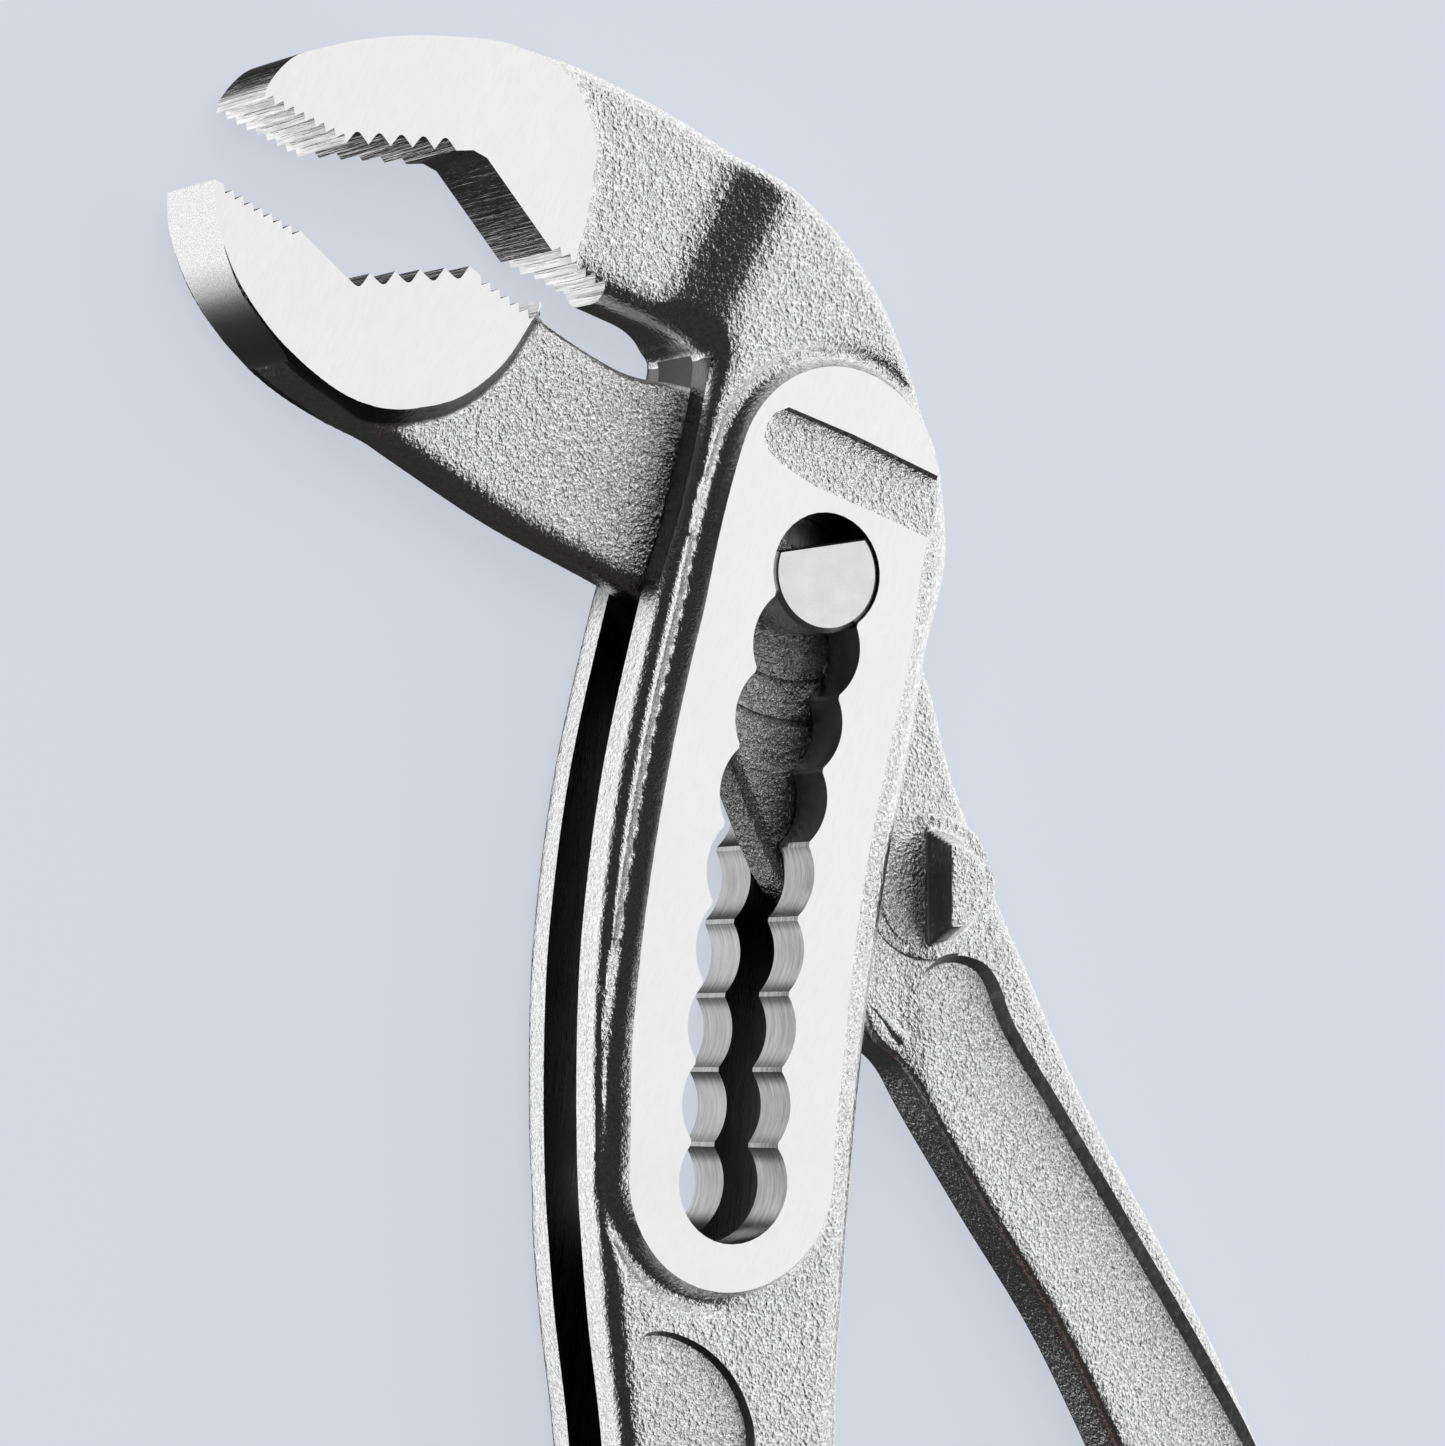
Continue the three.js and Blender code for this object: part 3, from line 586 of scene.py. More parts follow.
def surface(field, grid):
    """Quads over the field's zero level, one corner for each cell that it passes through."""
    field = field.astype(np.float32)
    inside = field < 0
    corners = [(i, j, k) for i in (0, 1) for j in (0, 1) for k in (0, 1)]
    shape = tuple(n - 1 for n in field.shape)
    filled = np.zeros(shape, np.int8)
    for corner in corners:
        filled += inside[tuple(slice(o, o + n) for o, n in zip(corner, shape))]
    active = (filled > 0) & (filled < len(corners))
    cells = np.argwhere(active)
    number = np.full(shape, -1, np.int64)
    number[active] = np.arange(len(cells))
    total = np.zeros((len(cells), 3))
    count = np.zeros(len(cells))
    for first in corners:
        for axis in range(3):
            if first[axis]:
                continue
            second = list(first)
            second[axis] = 1
            a = field[tuple((cells + first).T)]
            b = field[tuple((cells + second).T)]
            cross = (a < 0) != (b < 0)
            t = a[cross] / (a[cross] - b[cross])
            point = np.tile(np.array(first, float), (len(t), 1))
            point[:, axis] = t
            total[cross] += point
            count[cross] += 1
    places = grid.low + grid.step * (cells + total / count[:, None])
    quads = []
    for axis, (one, two) in enumerate([(1, 2), (2, 0), (0, 1)]):
        low = [slice(1, -1)] * 3
        high = [slice(1, -1)] * 3
        low[axis] = slice(0, -1)
        high[axis] = slice(1, None)
        start = inside[tuple(low)]
        change = start != inside[tuple(high)]
        edge = np.argwhere(change)
        back_one = np.eye(3, dtype=int)[one]
        back_two = np.eye(3, dtype=int)[two]
        edge += back_one + back_two
        ring = [edge, edge - back_one, edge - back_one - back_two, edge - back_two]
        faces = np.stack([number[tuple(cell.T)] for cell in ring], 1)
        flip = ~start[change]
        faces[flip] = faces[flip][:, ::-1]
        quads.append(faces)
    return places, np.concatenate(quads)


def relax(places, quads, rounds):
    """Evens out the grid's small steps without shrinking the shape."""
    pairs = np.concatenate([quads[:, [i, (i + 1) % 4]] for i in range(4)])
    pairs = np.concatenate([pairs, pairs[:, ::-1]])
    weight = np.bincount(pairs[:, 0], minlength=len(places))[:, None]
    for amount in RELAXING * rounds:
        total = np.stack([
            np.bincount(pairs[:, 0], weights=places[pairs[:, 1], i], minlength=len(places))
            for i in range(3)], 1)
        places = places + amount * (total / weight - places)
    return places


# Crisp cutters

def prism(outline, low, high, finish, draft=0.0):
    """Upright prism over an outline; with a draft its top is wider by that much."""
    following = np.roll(outline, -1, axis=0)
    before = np.roll(outline, 1, axis=0)
    if np.sum(outline[:, 0] * following[:, 1] - outline[:, 1] * following[:, 0]) < 0:
        outline, following, before = outline[::-1], before[::-1], following[::-1]
    way = following - before
    outward = np.stack([way[:, 1], -way[:, 0]], 1) / np.linalg.norm(way, axis=1)[:, None]
    count = len(outline)
    base = np.column_stack([outline, np.full(count, low)])
    top = np.column_stack([outline + outward * draft, np.full(count, high)])
    faces = [tuple(range(count))[::-1], tuple(range(count, 2 * count))]
    for index in range(count):
        after = (index + 1) % count
        faces.append((index, after, count + after, count + index))
    return np.concatenate([base, top]), faces, finish


def panel(outline, top, depth, draft):
    """Cutter for a drafted recess below a face."""
    return prism(outline, top - depth, top + depth, CAST, draft)


def ring_cutter(inner, outer, low, high, finish, steps=TURNED_STEPS):
    """Flat ring round the bolt's axis, for a turned groove."""
    places = []
    faces = []
    for step in range(steps):
        angle = 2 * math.pi * step / steps
        for radius, height in ((inner, low), (outer, low), (outer, high), (inner, high)):
            places.append((radius * math.cos(angle), radius * math.sin(angle), height))
        this = 4 * step
        after = 4 * ((step + 1) % steps)
        for corner in range(4):
            following = (corner + 1) % 4
            faces.append((this + corner, this + following, after + following, after + corner))
    return np.array(places), [face[::-1] for face in faces], finish


def both_faces(cutters):
    """Each cutter, followed by the same one on the tool's other face."""
    pairs = []
    for places, faces, finish in cutters:
        pairs.append((places, faces, finish))
        pairs.append((places * (1, 1, -1), [face[::-1] for face in faces], finish))
    return pairs


def new_mesh(name, places, faces, finishes, finish=None):
    """Mesh with the given material slots, and with one of them on all its faces."""
    mesh = bpy.data.meshes.new(name)
    mesh.from_pydata([tuple(p) for p in places], [], [tuple(f) for f in faces])
    for material in finishes:
        mesh.materials.append(material)
    if finish is not None:
        mesh.polygons.foreach_set("material_index", np.broadcast_to(finish, len(mesh.polygons)))
    mesh.update()
    return mesh


def new_object(name, mesh):
    """Object that shows a mesh in the scene."""
    piece = bpy.data.objects.new(name, mesh)
    bpy.context.scene.collection.objects.link(piece)
    return piece


def soft_object(name, field, grid, rounds, finishes):
    """Object over a field's zero level."""
    places, quads = surface(field, grid)
    return new_object(name, new_mesh(name, relax(places, quads, rounds), quads, finishes))


def combine(piece, others, operation, finishes):
    """Cuts or joins the closed shapes with the piece, one after the other."""
    helpers = []
    for number, (places, faces, finish) in enumerate(others):
        mesh = new_mesh(f"cutter_{number}", places, faces, finishes, finish)
        helper = new_object(f"cutter_{number}", mesh)
        helpers.append(helper)
        modifier = piece.modifiers.new(f"cut_{number}", "BOOLEAN")
        modifier.operation = operation
        modifier.solver = "MANIFOLD"
        modifier.object = helper
    bpy.context.view_layer.update()
    shaped = bpy.data.meshes.new_from_object(
        piece.evaluated_get(bpy.context.evaluated_depsgraph_get()))
    if len(shaped.polygons) == 0:
        raise RuntimeError(f"{piece.name} is empty after its cuts")
    old = piece.data
    piece.modifiers.clear()
    piece.data = shaped
    bpy.data.meshes.remove(old)
    for helper in helpers:
        mesh = helper.data
        bpy.data.objects.remove(helper)
        bpy.data.meshes.remove(mesh)


def face_table(mesh):
    """Centre, normal and finish of every face."""
    centres = np.zeros(3 * len(mesh.polygons))
    normals = np.zeros(3 * len(mesh.polygons))
    finish = np.zeros(len(mesh.polygons), np.int32)
    mesh.polygons.foreach_get("center", centres)
    mesh.polygons.foreach_get("normal", normals)
    mesh.polygons.foreach_get("material_index", finish)
    return centres.reshape(-1, 3), normals.reshape(-1, 3), finish


def mark_flanks(mesh):
    """Steep forged flanks are smoother than faces, and recess walls away from the light get painted shade.
    """
    _, normals, finish = face_table(mesh)
    steep = np.abs(normals[:, 2])
    turned_away = normals[:, 0] + normals[:, 1] < LIT_WALL
    finish[(finish == FORGED) & (steep < FLANK_STEEPNESS)] = FLANK
    # Painted shade on recess walls turned away from the light
    finish[(finish == CAST) & (steep < WALL_STEEPNESS) & turned_away] = MILLED_AND_SHADE
    mesh.polygons.foreach_set("material_index", finish)


def lift(mesh, angle):
    """Lifts a mesh off the floor, and shades it smooth but for crisp edges and borders of finish."""
    mesh.transform(Matrix.Translation((0, 0, MIDDLE)))
    mesh.shade_smooth()
    mesh.set_sharp_from_angle(angle=angle)
    if len(mesh.materials) == 1:
        return
    finish = face_table(mesh)[2]
    finish[(finish >= IN_BOX) & (finish <= PAD_WALL)] = FORGED
    loop_edge = np.zeros(len(mesh.loops), int)
    mesh.loops.foreach_get("edge_index", loop_edge)
    loop_total = np.zeros(len(mesh.polygons), int)
    mesh.polygons.foreach_get("loop_total", loop_total)
    loop_finish = np.repeat(finish, loop_total)
    lowest = np.full(len(mesh.edges), FRONT_WALL)
    highest = np.full(len(mesh.edges), FORGED)
    np.minimum.at(lowest, loop_edge, loop_finish)
    np.maximum.at(highest, loop_edge, loop_finish)
    sharp = np.zeros(len(mesh.edges), bool)
    mesh.attributes["sharp_edge"].data.foreach_get("value", sharp)
    sharp |= lowest != highest
    mesh.attributes["sharp_edge"].data.foreach_set("value", sharp)
    mesh.update()


# Materials

def add_node(tree, kind, inputs=None, **settings):
    """Node with its settings, and with each input linked to a socket or set to a value."""
    node = tree.nodes.new(kind)
    for key, value in settings.items():
        setattr(node, key, value)
    for key, value in (inputs or {}).items():
        socket = node.inputs[key]
        if isinstance(value, bpy.types.NodeSocket):
            tree.links.new(value, socket)
        else:
            socket.default_value = value
    return node


def place_of(tree):
    """Place on the object, in metres."""
    return add_node(tree, "ShaderNodeTexCoord").outputs["Object"]


def noise(tree, place, scale, detail=3.0, roughness=0.6):
    """Noise with values about a half."""
    return add_node(tree, "ShaderNodeTexNoise", {
        "Vector": place, "Scale": scale, "Detail": detail, "Roughness": roughness}).outputs["Fac"]


def math_of(tree, operation, *values):
    """Result of a calculation on sockets and numbers."""
    return add_node(tree, "ShaderNodeMath", dict(enumerate(values)), operation=operation).outputs[0]


def ranged(tree, value, start, end, low=0.0, high=1.0, kind="LINEAR"):
    """The value moved from one range to another, and held inside it."""
    return add_node(tree, "ShaderNodeMapRange", {
        "Value": value, "From Min": start, "From Max": end, "To Min": low, "To Max": high},
        interpolation_type=kind).outputs["Result"]


def opaque(colour, share=1.0):
    """Colour with its alpha, made darker or lighter by a share."""
    return tuple(min(1.0, share * c) for c in colour) + (1,)


def mixed(tree, share, first, second):
    """Blend from the first colour to the second."""
    return add_node(
        tree, "ShaderNodeMix", {0: share, 6: first, 7: second}, data_type="RGBA").outputs[2]


def new_group(name, inputs, outputs):
    """Empty shader group, with the nodes of its inputs and outputs."""
    group = bpy.data.node_groups.new(name, "ShaderNodeTree")
    for label, kind, default in inputs:
        socket = group.interface.new_socket(label, in_out="INPUT", socket_type=kind)
        socket.default_value = default
    for label in outputs:
        group.interface.new_socket(label, in_out="OUTPUT", socket_type="NodeSocketFloat")
    return group, group.nodes.new("NodeGroupInput").outputs, group.nodes.new("NodeGroupOutput").inputs


def place_group(tree, group, inputs):
    """Outputs of a group placed in a material."""
    node = tree.nodes.new("ShaderNodeGroup")
    node.node_tree = group
    for key, value in inputs.items():
        node.inputs[key].default_value = value
    return node.outputs


PIT_RANGE = (0.4, 0.62)
BROAD_GRAIN_SCALE = 0.42
BROAD_GRAIN_WEIGHT = 0.7
CLOUD_SCALE = 140.0
PIT_SHADES = (0.78, 1.06)
PIT_ROUGHNESS = (0.22, 0.15)
MARK_SHADE_RANGE = (0.12, 0.4)
MARK_HEIGHT_RANGE = (0.3, 0.7)
SPREAD_LIMIT = 0.25
MOULD_SHADES = (0.86, 1.14)
MOULD_ROUGHNESS = (0.85, 1.15)
# Share of the ground colour left on the seats, as painted shade in the slot
SEAT_SHADE_SHARE = 0.5
BOLT_SHARE = 0.83
MOULD_CLOUD_SCALE = 90.0


def forged_grain_group():
    """Orange-peel skin of a shot-blasted forging."""
    found = bpy.data.node_groups.get("Forged Grain")
    if found:
        return found
    group, given, result = new_group(
        "Forged Grain", [("Scale", "NodeSocketFloat", 2400.0)], ["Height", "Pits"])
    place = place_of(group)
    fine = noise(group, place, given["Scale"], 2.0)
    broad = noise(group, place, math_of(group, "MULTIPLY", given["Scale"], BROAD_GRAIN_SCALE), 1.0, 0.5)
    group.links.new(math_of(group, "MULTIPLY_ADD", broad, BROAD_GRAIN_WEIGHT, fine), result["Height"])
    group.links.new(ranged(group, fine, *PIT_RANGE), result["Pits"])
    return group


def tool_marks_group():
    """Fine parallel marks that grinding, milling or broaching leaves."""
    found = bpy.data.node_groups.get("Tool Marks")
    if found:
        return found
    group, given, result = new_group(
        "Tool Marks",
        [("Spacing", "NodeSocketVector", (3000.0, 300.0, 3000.0)), ("Turn", "NodeSocketFloat", 0.0)],
        ["Height", "Shade"])
    place = place_of(group)
    turned = add_node(group, "ShaderNodeVectorRotate", {
        "Vector": place, "Angle": given["Turn"]}, rotation_type="Z_AXIS").outputs["Vector"]
    stretched = add_node(group, "ShaderNodeVectorMath", {
        0: turned, 1: given["Spacing"]}, operation="MULTIPLY").outputs["Vector"]
    marks = noise(group, stretched, 1.0)
    cloud = noise(group, place, CLOUD_SCALE)
    group.links.new(marks, result["Height"])
    group.links.new(math_of(group, "MULTIPLY", marks, cloud), result["Shade"])
    return group


def moulded_grain_group():
    """Fine matt grain of a moulded surface."""
    found = bpy.data.node_groups.get("Moulded Grain")
    if found:
        return found
    group, given, result = new_group(
        "Moulded Grain", [("Scale", "NodeSocketFloat", 1600.0)], ["Height", "Cloud"])
    place = place_of(group)
    group.links.new(noise(group, place, given["Scale"]), result["Height"])
    group.links.new(noise(group, place, MOULD_CLOUD_SCALE), result["Cloud"])
    return group


def new_material(name):
    """Material with its node tree and its Principled shader."""
    material = bpy.data.materials.new(name)
    material.use_nodes = True
    return material, material.node_tree, material.node_tree.nodes["Principled BSDF"]


def dress(tree, shader, colour, roughness, height, depth, metallic):
    """Gives a shader its colour, its roughness and a bump of the given depth."""
    bump = add_node(tree, "ShaderNodeBump", {"Height": height, "Strength": 1.0, "Distance": depth})
    shader.inputs["Metallic"].default_value = metallic
    tree.links.new(colour, shader.inputs["Base Color"])
    tree.links.new(roughness, shader.inputs["Roughness"])
    tree.links.new(bump.outputs["Normal"], shader.inputs["Normal"])


def forged_material(name, colour, depth, scale, fade=None):
    """Forged chrome; with a fade it turns to another colour with its distance from a plane, as painted
    shade.
    """
    material, tree, shader = new_material(name)
    grain = place_group(tree, forged_grain_group(), {"Scale": scale})
    dark, pale = PIT_SHADES
    skin = mixed(tree, grain["Pits"], opaque(colour, dark), opaque(colour, pale))
    roughness = ranged(tree, grain["Pits"], 0.0, 1.0, *PIT_ROUGHNESS)
    if fade is not None:
        shade, axis, plane, start, end = fade
        along = add_node(tree, "ShaderNodeSeparateXYZ", {0: place_of(tree)}).outputs[axis]
        distance = math_of(tree, "ABSOLUTE", math_of(tree, "SUBTRACT", along, plane))
        skin = mixed(tree, ranged(tree, distance, start, end), skin, opaque(shade))
    dress(tree, shader, skin, roughness, grain["Height"], depth, 1.0)
    return material


def marked_material(name, colour, roughness, spacing, turn, depth, contrast):
    """Bare or plated steel with the marks of a tool."""
    material, tree, shader = new_material(name)
    marks = place_group(tree, tool_marks_group(), {"Spacing": spacing, "Turn": turn})
    share = ranged(tree, marks["Shade"], *MARK_SHADE_RANGE)
    skin = mixed(tree, share, opaque(colour, 1 - contrast), opaque(colour, 1 + contrast / 2))
    spread = min(2 * contrast, SPREAD_LIMIT)
    rough = ranged(
        tree, marks["Height"], *MARK_HEIGHT_RANGE, roughness * (1 + spread), roughness * (1 - spread))
    dress(tree, shader, skin, rough, marks["Height"], depth, 1.0)
    return material


def moulded_material(name, colour, roughness, scale, depth):
    """Matt plastic of the grips, shared by both of them."""
    found = bpy.data.materials.get(name)
    if found:
        return found
    material, tree, shader = new_material(name)
    grain = place_group(tree, moulded_grain_group(), {"Scale": scale})
    dark, pale = MOULD_SHADES
    skin = mixed(tree, grain["Cloud"], opaque(colour, dark), opaque(colour, pale))
    low, high = MOULD_ROUGHNESS
    rough = ranged(tree, grain["Height"], 0.0, 1.0, roughness * low, roughness * high)
    dress(tree, shader, skin, rough, grain["Height"], depth, 0.0)
    return material


def steel_finishes(colours):
    """The forgings' finishes, in the order of the cuts' numbers."""
    names = [
        "forged_chrome", "ground_steel", "milled_steel_and_shade", "seat_steel", "bite_steel", "forged_recess",
        "forging_in_box", "forged_flank", "shaded_flank", "pad_wall", "front_wall"]
    found = [bpy.data.materials.get(name) for name in names]
    if all(found):
        return found
    forged, ground, milled_and_shade = colours.forged, colours.ground, colours.milled_and_shade
    # Painted shade: the seats take half the ground colour
    dim = opaque(ground, SEAT_SHADE_SHARE)[:3]
    face_depth = 0.17 * MM
    flank_depth = 0.07 * MM
    # Painted shade: the box wall darkens where the shank passes, the pad wall above its foot, and the tip
    # wall down the tip
    shank_top = BOX_DROP + SHANK_PASSES[0]
    up_the_box = (milled_and_shade, "Y", -BOX_DROP, shank_top - SHADE_FADE, shank_top + SHADE_FADE)
    off_the_middle = (milled_and_shade, "Z", MIDDLE, PAD_WALL_FOOT, PAD_WALL_FOOT + PAD_WALL_FADE)
    down_the_tip = (milled_and_shade, "Y", LOWER_RISE, *(LOWER_RISE - height for height in FRONT_WALL_FADES))
    return [
        forged_material(names[FORGED], forged, face_depth, scale=4200.0),
        marked_material(
            names[GROUND], ground, roughness=0.3, spacing=(5200.0, 700.0, 700.0), turn=0.35,
            depth=0.0005 * MM, contrast=0.035),
        marked_material(
            names[MILLED_AND_SHADE], milled_and_shade, roughness=0.3, spacing=(3800.0, 160.0, 1500.0), turn=0.12,
            depth=0.008 * MM, contrast=0.3),
        marked_material(
            names[SEAT], dim, roughness=0.2, spacing=(350.0, 350.0, 3600.0), turn=0.0,
            depth=0.012 * MM, contrast=0.3),
        marked_material(
            names[BITE], ground, roughness=0.15, spacing=(5200.0, 5200.0, 160.0), turn=0.0,
            depth=0.055 * MM, contrast=0.6),
        forged_material(names[CAST], forged, face_depth, scale=4200.0),
        forged_material(names[IN_BOX], colours.in_box, 0.16 * MM, scale=4000.0),
        forged_material(names[FLANK], forged, flank_depth, scale=4000.0),
        forged_material(names[SHADED], forged, flank_depth, scale=4000.0, fade=up_the_box),
        forged_material(names[PAD_WALL], forged, flank_depth, scale=4000.0, fade=off_the_middle),
        forged_material(names[FRONT_WALL], ground, 0.003 * MM, scale=9000.0, fade=down_the_tip),
    ]


def bolt_material(colours):
    """Finely ground steel, a little darker than the ground faces."""
    dim = opaque(colours.ground, BOLT_SHARE)[:3]
    return marked_material(
        "bolt_steel", dim, roughness=0.28, spacing=(900.0, 900.0, 900.0), turn=0.0,
        depth=0.002 * MM, contrast=0.06)


# Outer half

def seat_outline(seat_radius, cusp_half_width, steps=SEAT_STEPS):
    """Outline of the slot: nine seats with narrow cusps between them."""
    outline = []
    half_turn = math.acos(min(1.0, cusp_half_width / seat_radius))
    for side in (-1, 1):
        order = range(SEAT_COUNT) if side < 0 else range(SEAT_COUNT - 1, -1, -1)
        for seat in order:
            first, last = half_turn, -half_turn
            if (seat == 0 and side < 0) or (seat == SEAT_COUNT - 1 and side > 0):
                first = math.pi / 2
            if (seat == SEAT_COUNT - 1 and side < 0) or (seat == 0 and side > 0):
                last = -math.pi / 2
            for angle in np.linspace(first, last, steps):
                along = seat * SEAT_PITCH + side * seat_radius * math.sin(angle)
                outline.append(beside_slot(along, side * seat_radius * math.cos(angle)))
    outline = np.array(outline)
    following = np.roll(outline, -1, axis=0)
    return outline[np.linalg.norm(following - outline, axis=1) > SHORTEST_EDGE]


def upper_outline():
    """Outline of the outer half's blank, down to its tang's end inside the grip."""
    right_side, left_side = tang_sides("outer")
    right = scaled(RIGHT_RIM_SHARES, RIM_RIGHT, BOX_DROP)
    left = scaled(LEFT_RIM_SHARES, RIM_LEFT, BOX_DROP)
    bite = ("throat_start", "corner_low", "wide_end", "wide_start", "tip")
    bite = on_upper_jaw([UPPER_BITE_SHARES[name] for name in bite])
    return np.concatenate([
        smooth(np.concatenate([on_upper_jaw(UPPER_BACK_SHARES), right, right_side])),
        smooth(np.concatenate([left_side[::-1], left, on_upper_jaw(THROAT_SHARES)])),
        bite - (0, BITE_STOCK),
    ])


def boss_distance(x, y, half_width):
    """Distance to the boss's rim, negative inside; it leans left at its top and tapers to its ends."""
    down, left = slot_places(x, y)
    below = down - SEAT_PITCH * (SEAT_COUNT - 1) + BOSS_END_CUT
    past = np.maximum(np.maximum(below, -BOSS_ABOVE_BOLT - down), 0)
    middle = BOSS_SHIFT + BOSS_TOP_SHIFT * ramp(-down, *BOSS_SHIFT_RUN)
    half = half_width - BOSS_TAPER * ramp(np.abs(down - BOSS_TAPER_MIDDLE), *BOSS_TAPER_RUN)
    return np.hypot(past, left - middle) - half


def outer_half_thickness(sizes, x, y, boss):
    """Half thickness of cheeks, neck and tang, with the forged groove round the boss."""
    down, left = slot_places(x, y)
    toward_jaw = (x - NECK_PLACE[0]) * NECK_WAY[0] + (y - NECK_PLACE[1]) * NECK_WAY[1]
    neck = ramp(toward_jaw, *NECK_RUN) * ramp(y, *NECK_RISE)
    half = sizes.cheek_half + (sizes.neck_half - sizes.cheek_half) * neck
    half = half + (TANG_HALF["outer"] - half) * ramp(-y, *OUTER_TANG_RUN)
    deeper = ramp(left + GROOVE_LEAN * np.maximum(-down, 0), *GROOVE_RUN)
    groove = GROOVE_DEPTH + GROOVE_EXTRA * deeper
    return half - groove * np.exp(-((boss - GROOVE_PLACE) / GROOVE_WIDTH) ** 2)


def outer_rounding(x, y):
    """Rounding of the outer half's rims: wider beside the boss and over the throat."""
    left = slot_places(x, y)[1]
    right_side = ramp(-left, *RIGHT_RUNS[0]) * ramp(-y, *RIGHT_RUNS[1])
    left_side = ramp(left, *LEFT_RUNS[0]) * ramp(-y, *LEFT_RUNS[1])
    from_throat = (x - THROAT_PLACE[0]) * THROAT_WAY[0] + (y - THROAT_PLACE[1]) * THROAT_WAY[1]
    throat_side = ramp(-from_throat, *THROAT_RUNS[0]) * ramp(y, *THROAT_RUNS[1])
    return (RIM_ROUNDING + RIGHT_ROUNDING * right_side + LEFT_ROUNDING * left_side
            + THROAT_ROUNDING * throat_side)


def shape_outer(sizes):
    """The outer half's forged body, with stock on its boss and jaw."""
    grid = Grid(
        (-UPPER_REACH - GRID_MARGIN, -TANG_CUT_DROP - GRID_MARGIN, -MIDDLE - HEIGHT_MARGIN),
        (RIM_RIGHT + GRID_MARGIN, UPPER_RISE + GRID_MARGIN, MIDDLE + HEIGHT_MARGIN), sizes.grain)
    x, y = grid.x, grid.y
    blank = outline_distance(upper_outline(), x, y)
    boss = boss_distance(x, y, sizes.boss_half_width)
    half = outer_half_thickness(sizes, x, y, boss)
    body = slab(blank, half, outer_rounding(x, y), grid.height)
    boss_body = raised(boss, MIDDLE, BOSS_STOCK, BOSS_DRAFT, blank + BOSS_INSET, grid.height)
    body = soft_union(body, boss_body, BOSS_FILLET)
    pad = outline_distance(np.concatenate([
        smooth(on_upper_jaw(UPPER_PAD_SHARES)), on_upper_jaw(UPPER_PAD_FRONT_SHARES)]), x, y)
    pad_body = raised(pad, sizes.jaw_half, PAD_STOCK, UPPER_PAD_DRAFT, blank, grid.height)
    return soft_union(body, pad_body, UPPER_PAD_FILLET), grid


def outer_cuts(sizes):
    """Everything that is ground, milled and broached on the outer half."""
    wide = 2 * UPPER_REACH
    sheet = np.array([(-wide, -2 * BOX_DROP), (wide, -2 * BOX_DROP), (wide, wide), (-wide, wide)])
    ground = [
        prism(sheet, MIDDLE, CUT_HEIGHT, GROUND),
        prism(on_upper_jaw(UPPER_PAD_REGION_SHARES), sizes.jaw_half, CUT_HEIGHT, GROUND)]
    back = smooth(on_upper_jaw(UPPER_BACK_SHARES[:UPPER_TIP_POINTS]))
    tip = np.concatenate([beside(back, TIP_WALL_CUT, 0), on_upper_jaw(UPPER_TIP_CLEAR_SHARES)])
    at = dict(zip(UPPER_BITE_SHARES, on_upper_jaw(list(UPPER_BITE_SHARES.values()))))
    mouth = np.concatenate([
        toothed(at["tip"], at["wide_start"], TIP_TEETH, sizes.fine_tooth_depth),
        toothed(at["wide_start"], at["wide_end"], WIDE_TEETH, sizes.tooth_depth, VALLEY_ROUND),
        [at["wide_end"], at["corner_high"], at["corner_low"]],
        toothed(at["throat_start"], at["throat_end"], THROAT_TEETH, sizes.fine_tooth_depth),
        [at["throat_end"]],
        on_upper_jaw(UPPER_MOUTH_SHARES),
    ])
    throat = smooth(on_upper_jaw([UPPER_BITE_SHARES["throat_end"]] + THROAT_SHARES[::-1]))
    throat_wall = np.concatenate([
        beside(throat, TIP_WALL_CUT, TIP_WALL_CUT), on_upper_jaw(THROAT_CLEAR_SHARES)])
    side = 2 * RIM_LEFT
    gap = np.concatenate([
        arc(GAP_TOP_RADIUS, 0, math.pi, GAP_TOP_STEPS),
        [(-side, 0), (-side, -GAP_DROP - GAP_END_SLOPE), (side, -GAP_DROP), (side, 0)],
    ])
    top_half = sizes.gap_half + GAP_TOP_RELIEF
    seats = seat_outline(sizes.seat_radius, sizes.cusp_half_width)
    return both_faces(ground) + [
        prism(tip, -CUT_HEIGHT, CUT_HEIGHT, BITE),
        prism(mouth, -CUT_HEIGHT, CUT_HEIGHT, BITE),
        prism(throat_wall, -THROAT_HALF, THROAT_HALF, BITE),
        # The milled gap takes the near-black colour, which paints its shade
        prism(gap, -sizes.gap_half, sizes.gap_half, MILLED_AND_SHADE),
        prism(
            arc(GAP_TOP_RADIUS, *GAP_TOP_ARC, GAP_TOP_CUT_STEPS), -top_half, top_half, GROUND),
        prism(seats, -CUT_HEIGHT, CUT_HEIGHT, SEAT),
    ] + both_faces([
        panel(scaled(BOSS_PANEL_SHARES, RIM_RIGHT, RIM_RIGHT), MIDDLE, PANEL_DEPTH, PANEL_DRAFT),
        panel(
            smooth(scaled(ARCH_PANEL_SHARES, RIM_LEFT, BOX_DROP), ARCH_PANEL_STEPS),
            sizes.cheek_half, PANEL_DEPTH, ARCH_PANEL_DRAFT)])


def mark_throat(mesh):
    """The box's left rim is smooth, and its wall gets painted shade where the shank passes in front of it.
    """
    centres, normals, finish = face_table(mesh)
    x, y, height = centres.T
    low, high = SHANK_PASSES
    round_throat, below_shank = BOX_WALL_MARGIN
    beside_shank = (y > low - below_shank) & (y < high) & (x < -BOX_WALL_SIDE)
    near = (np.hypot(x, y) < GAP_TOP_RADIUS + round_throat) & (np.abs(height) < BOX_WALL_TOP)
    # Painted shade on the box wall beside the shank
    finish[(finish == FLANK) & beside_shank & near & (normals[:, 0] < BOX_WALL_TURN)] = SHADED
    down, left = slot_places(x, y)
    rim = (left > RIDGE_START) & (down > -BOSS_ABOVE_BOLT) & (down < GAP_DROP)
    finish[(finish == FORGED) & rim] = FLANK
    mesh.polygons.foreach_set("material_index", finish)


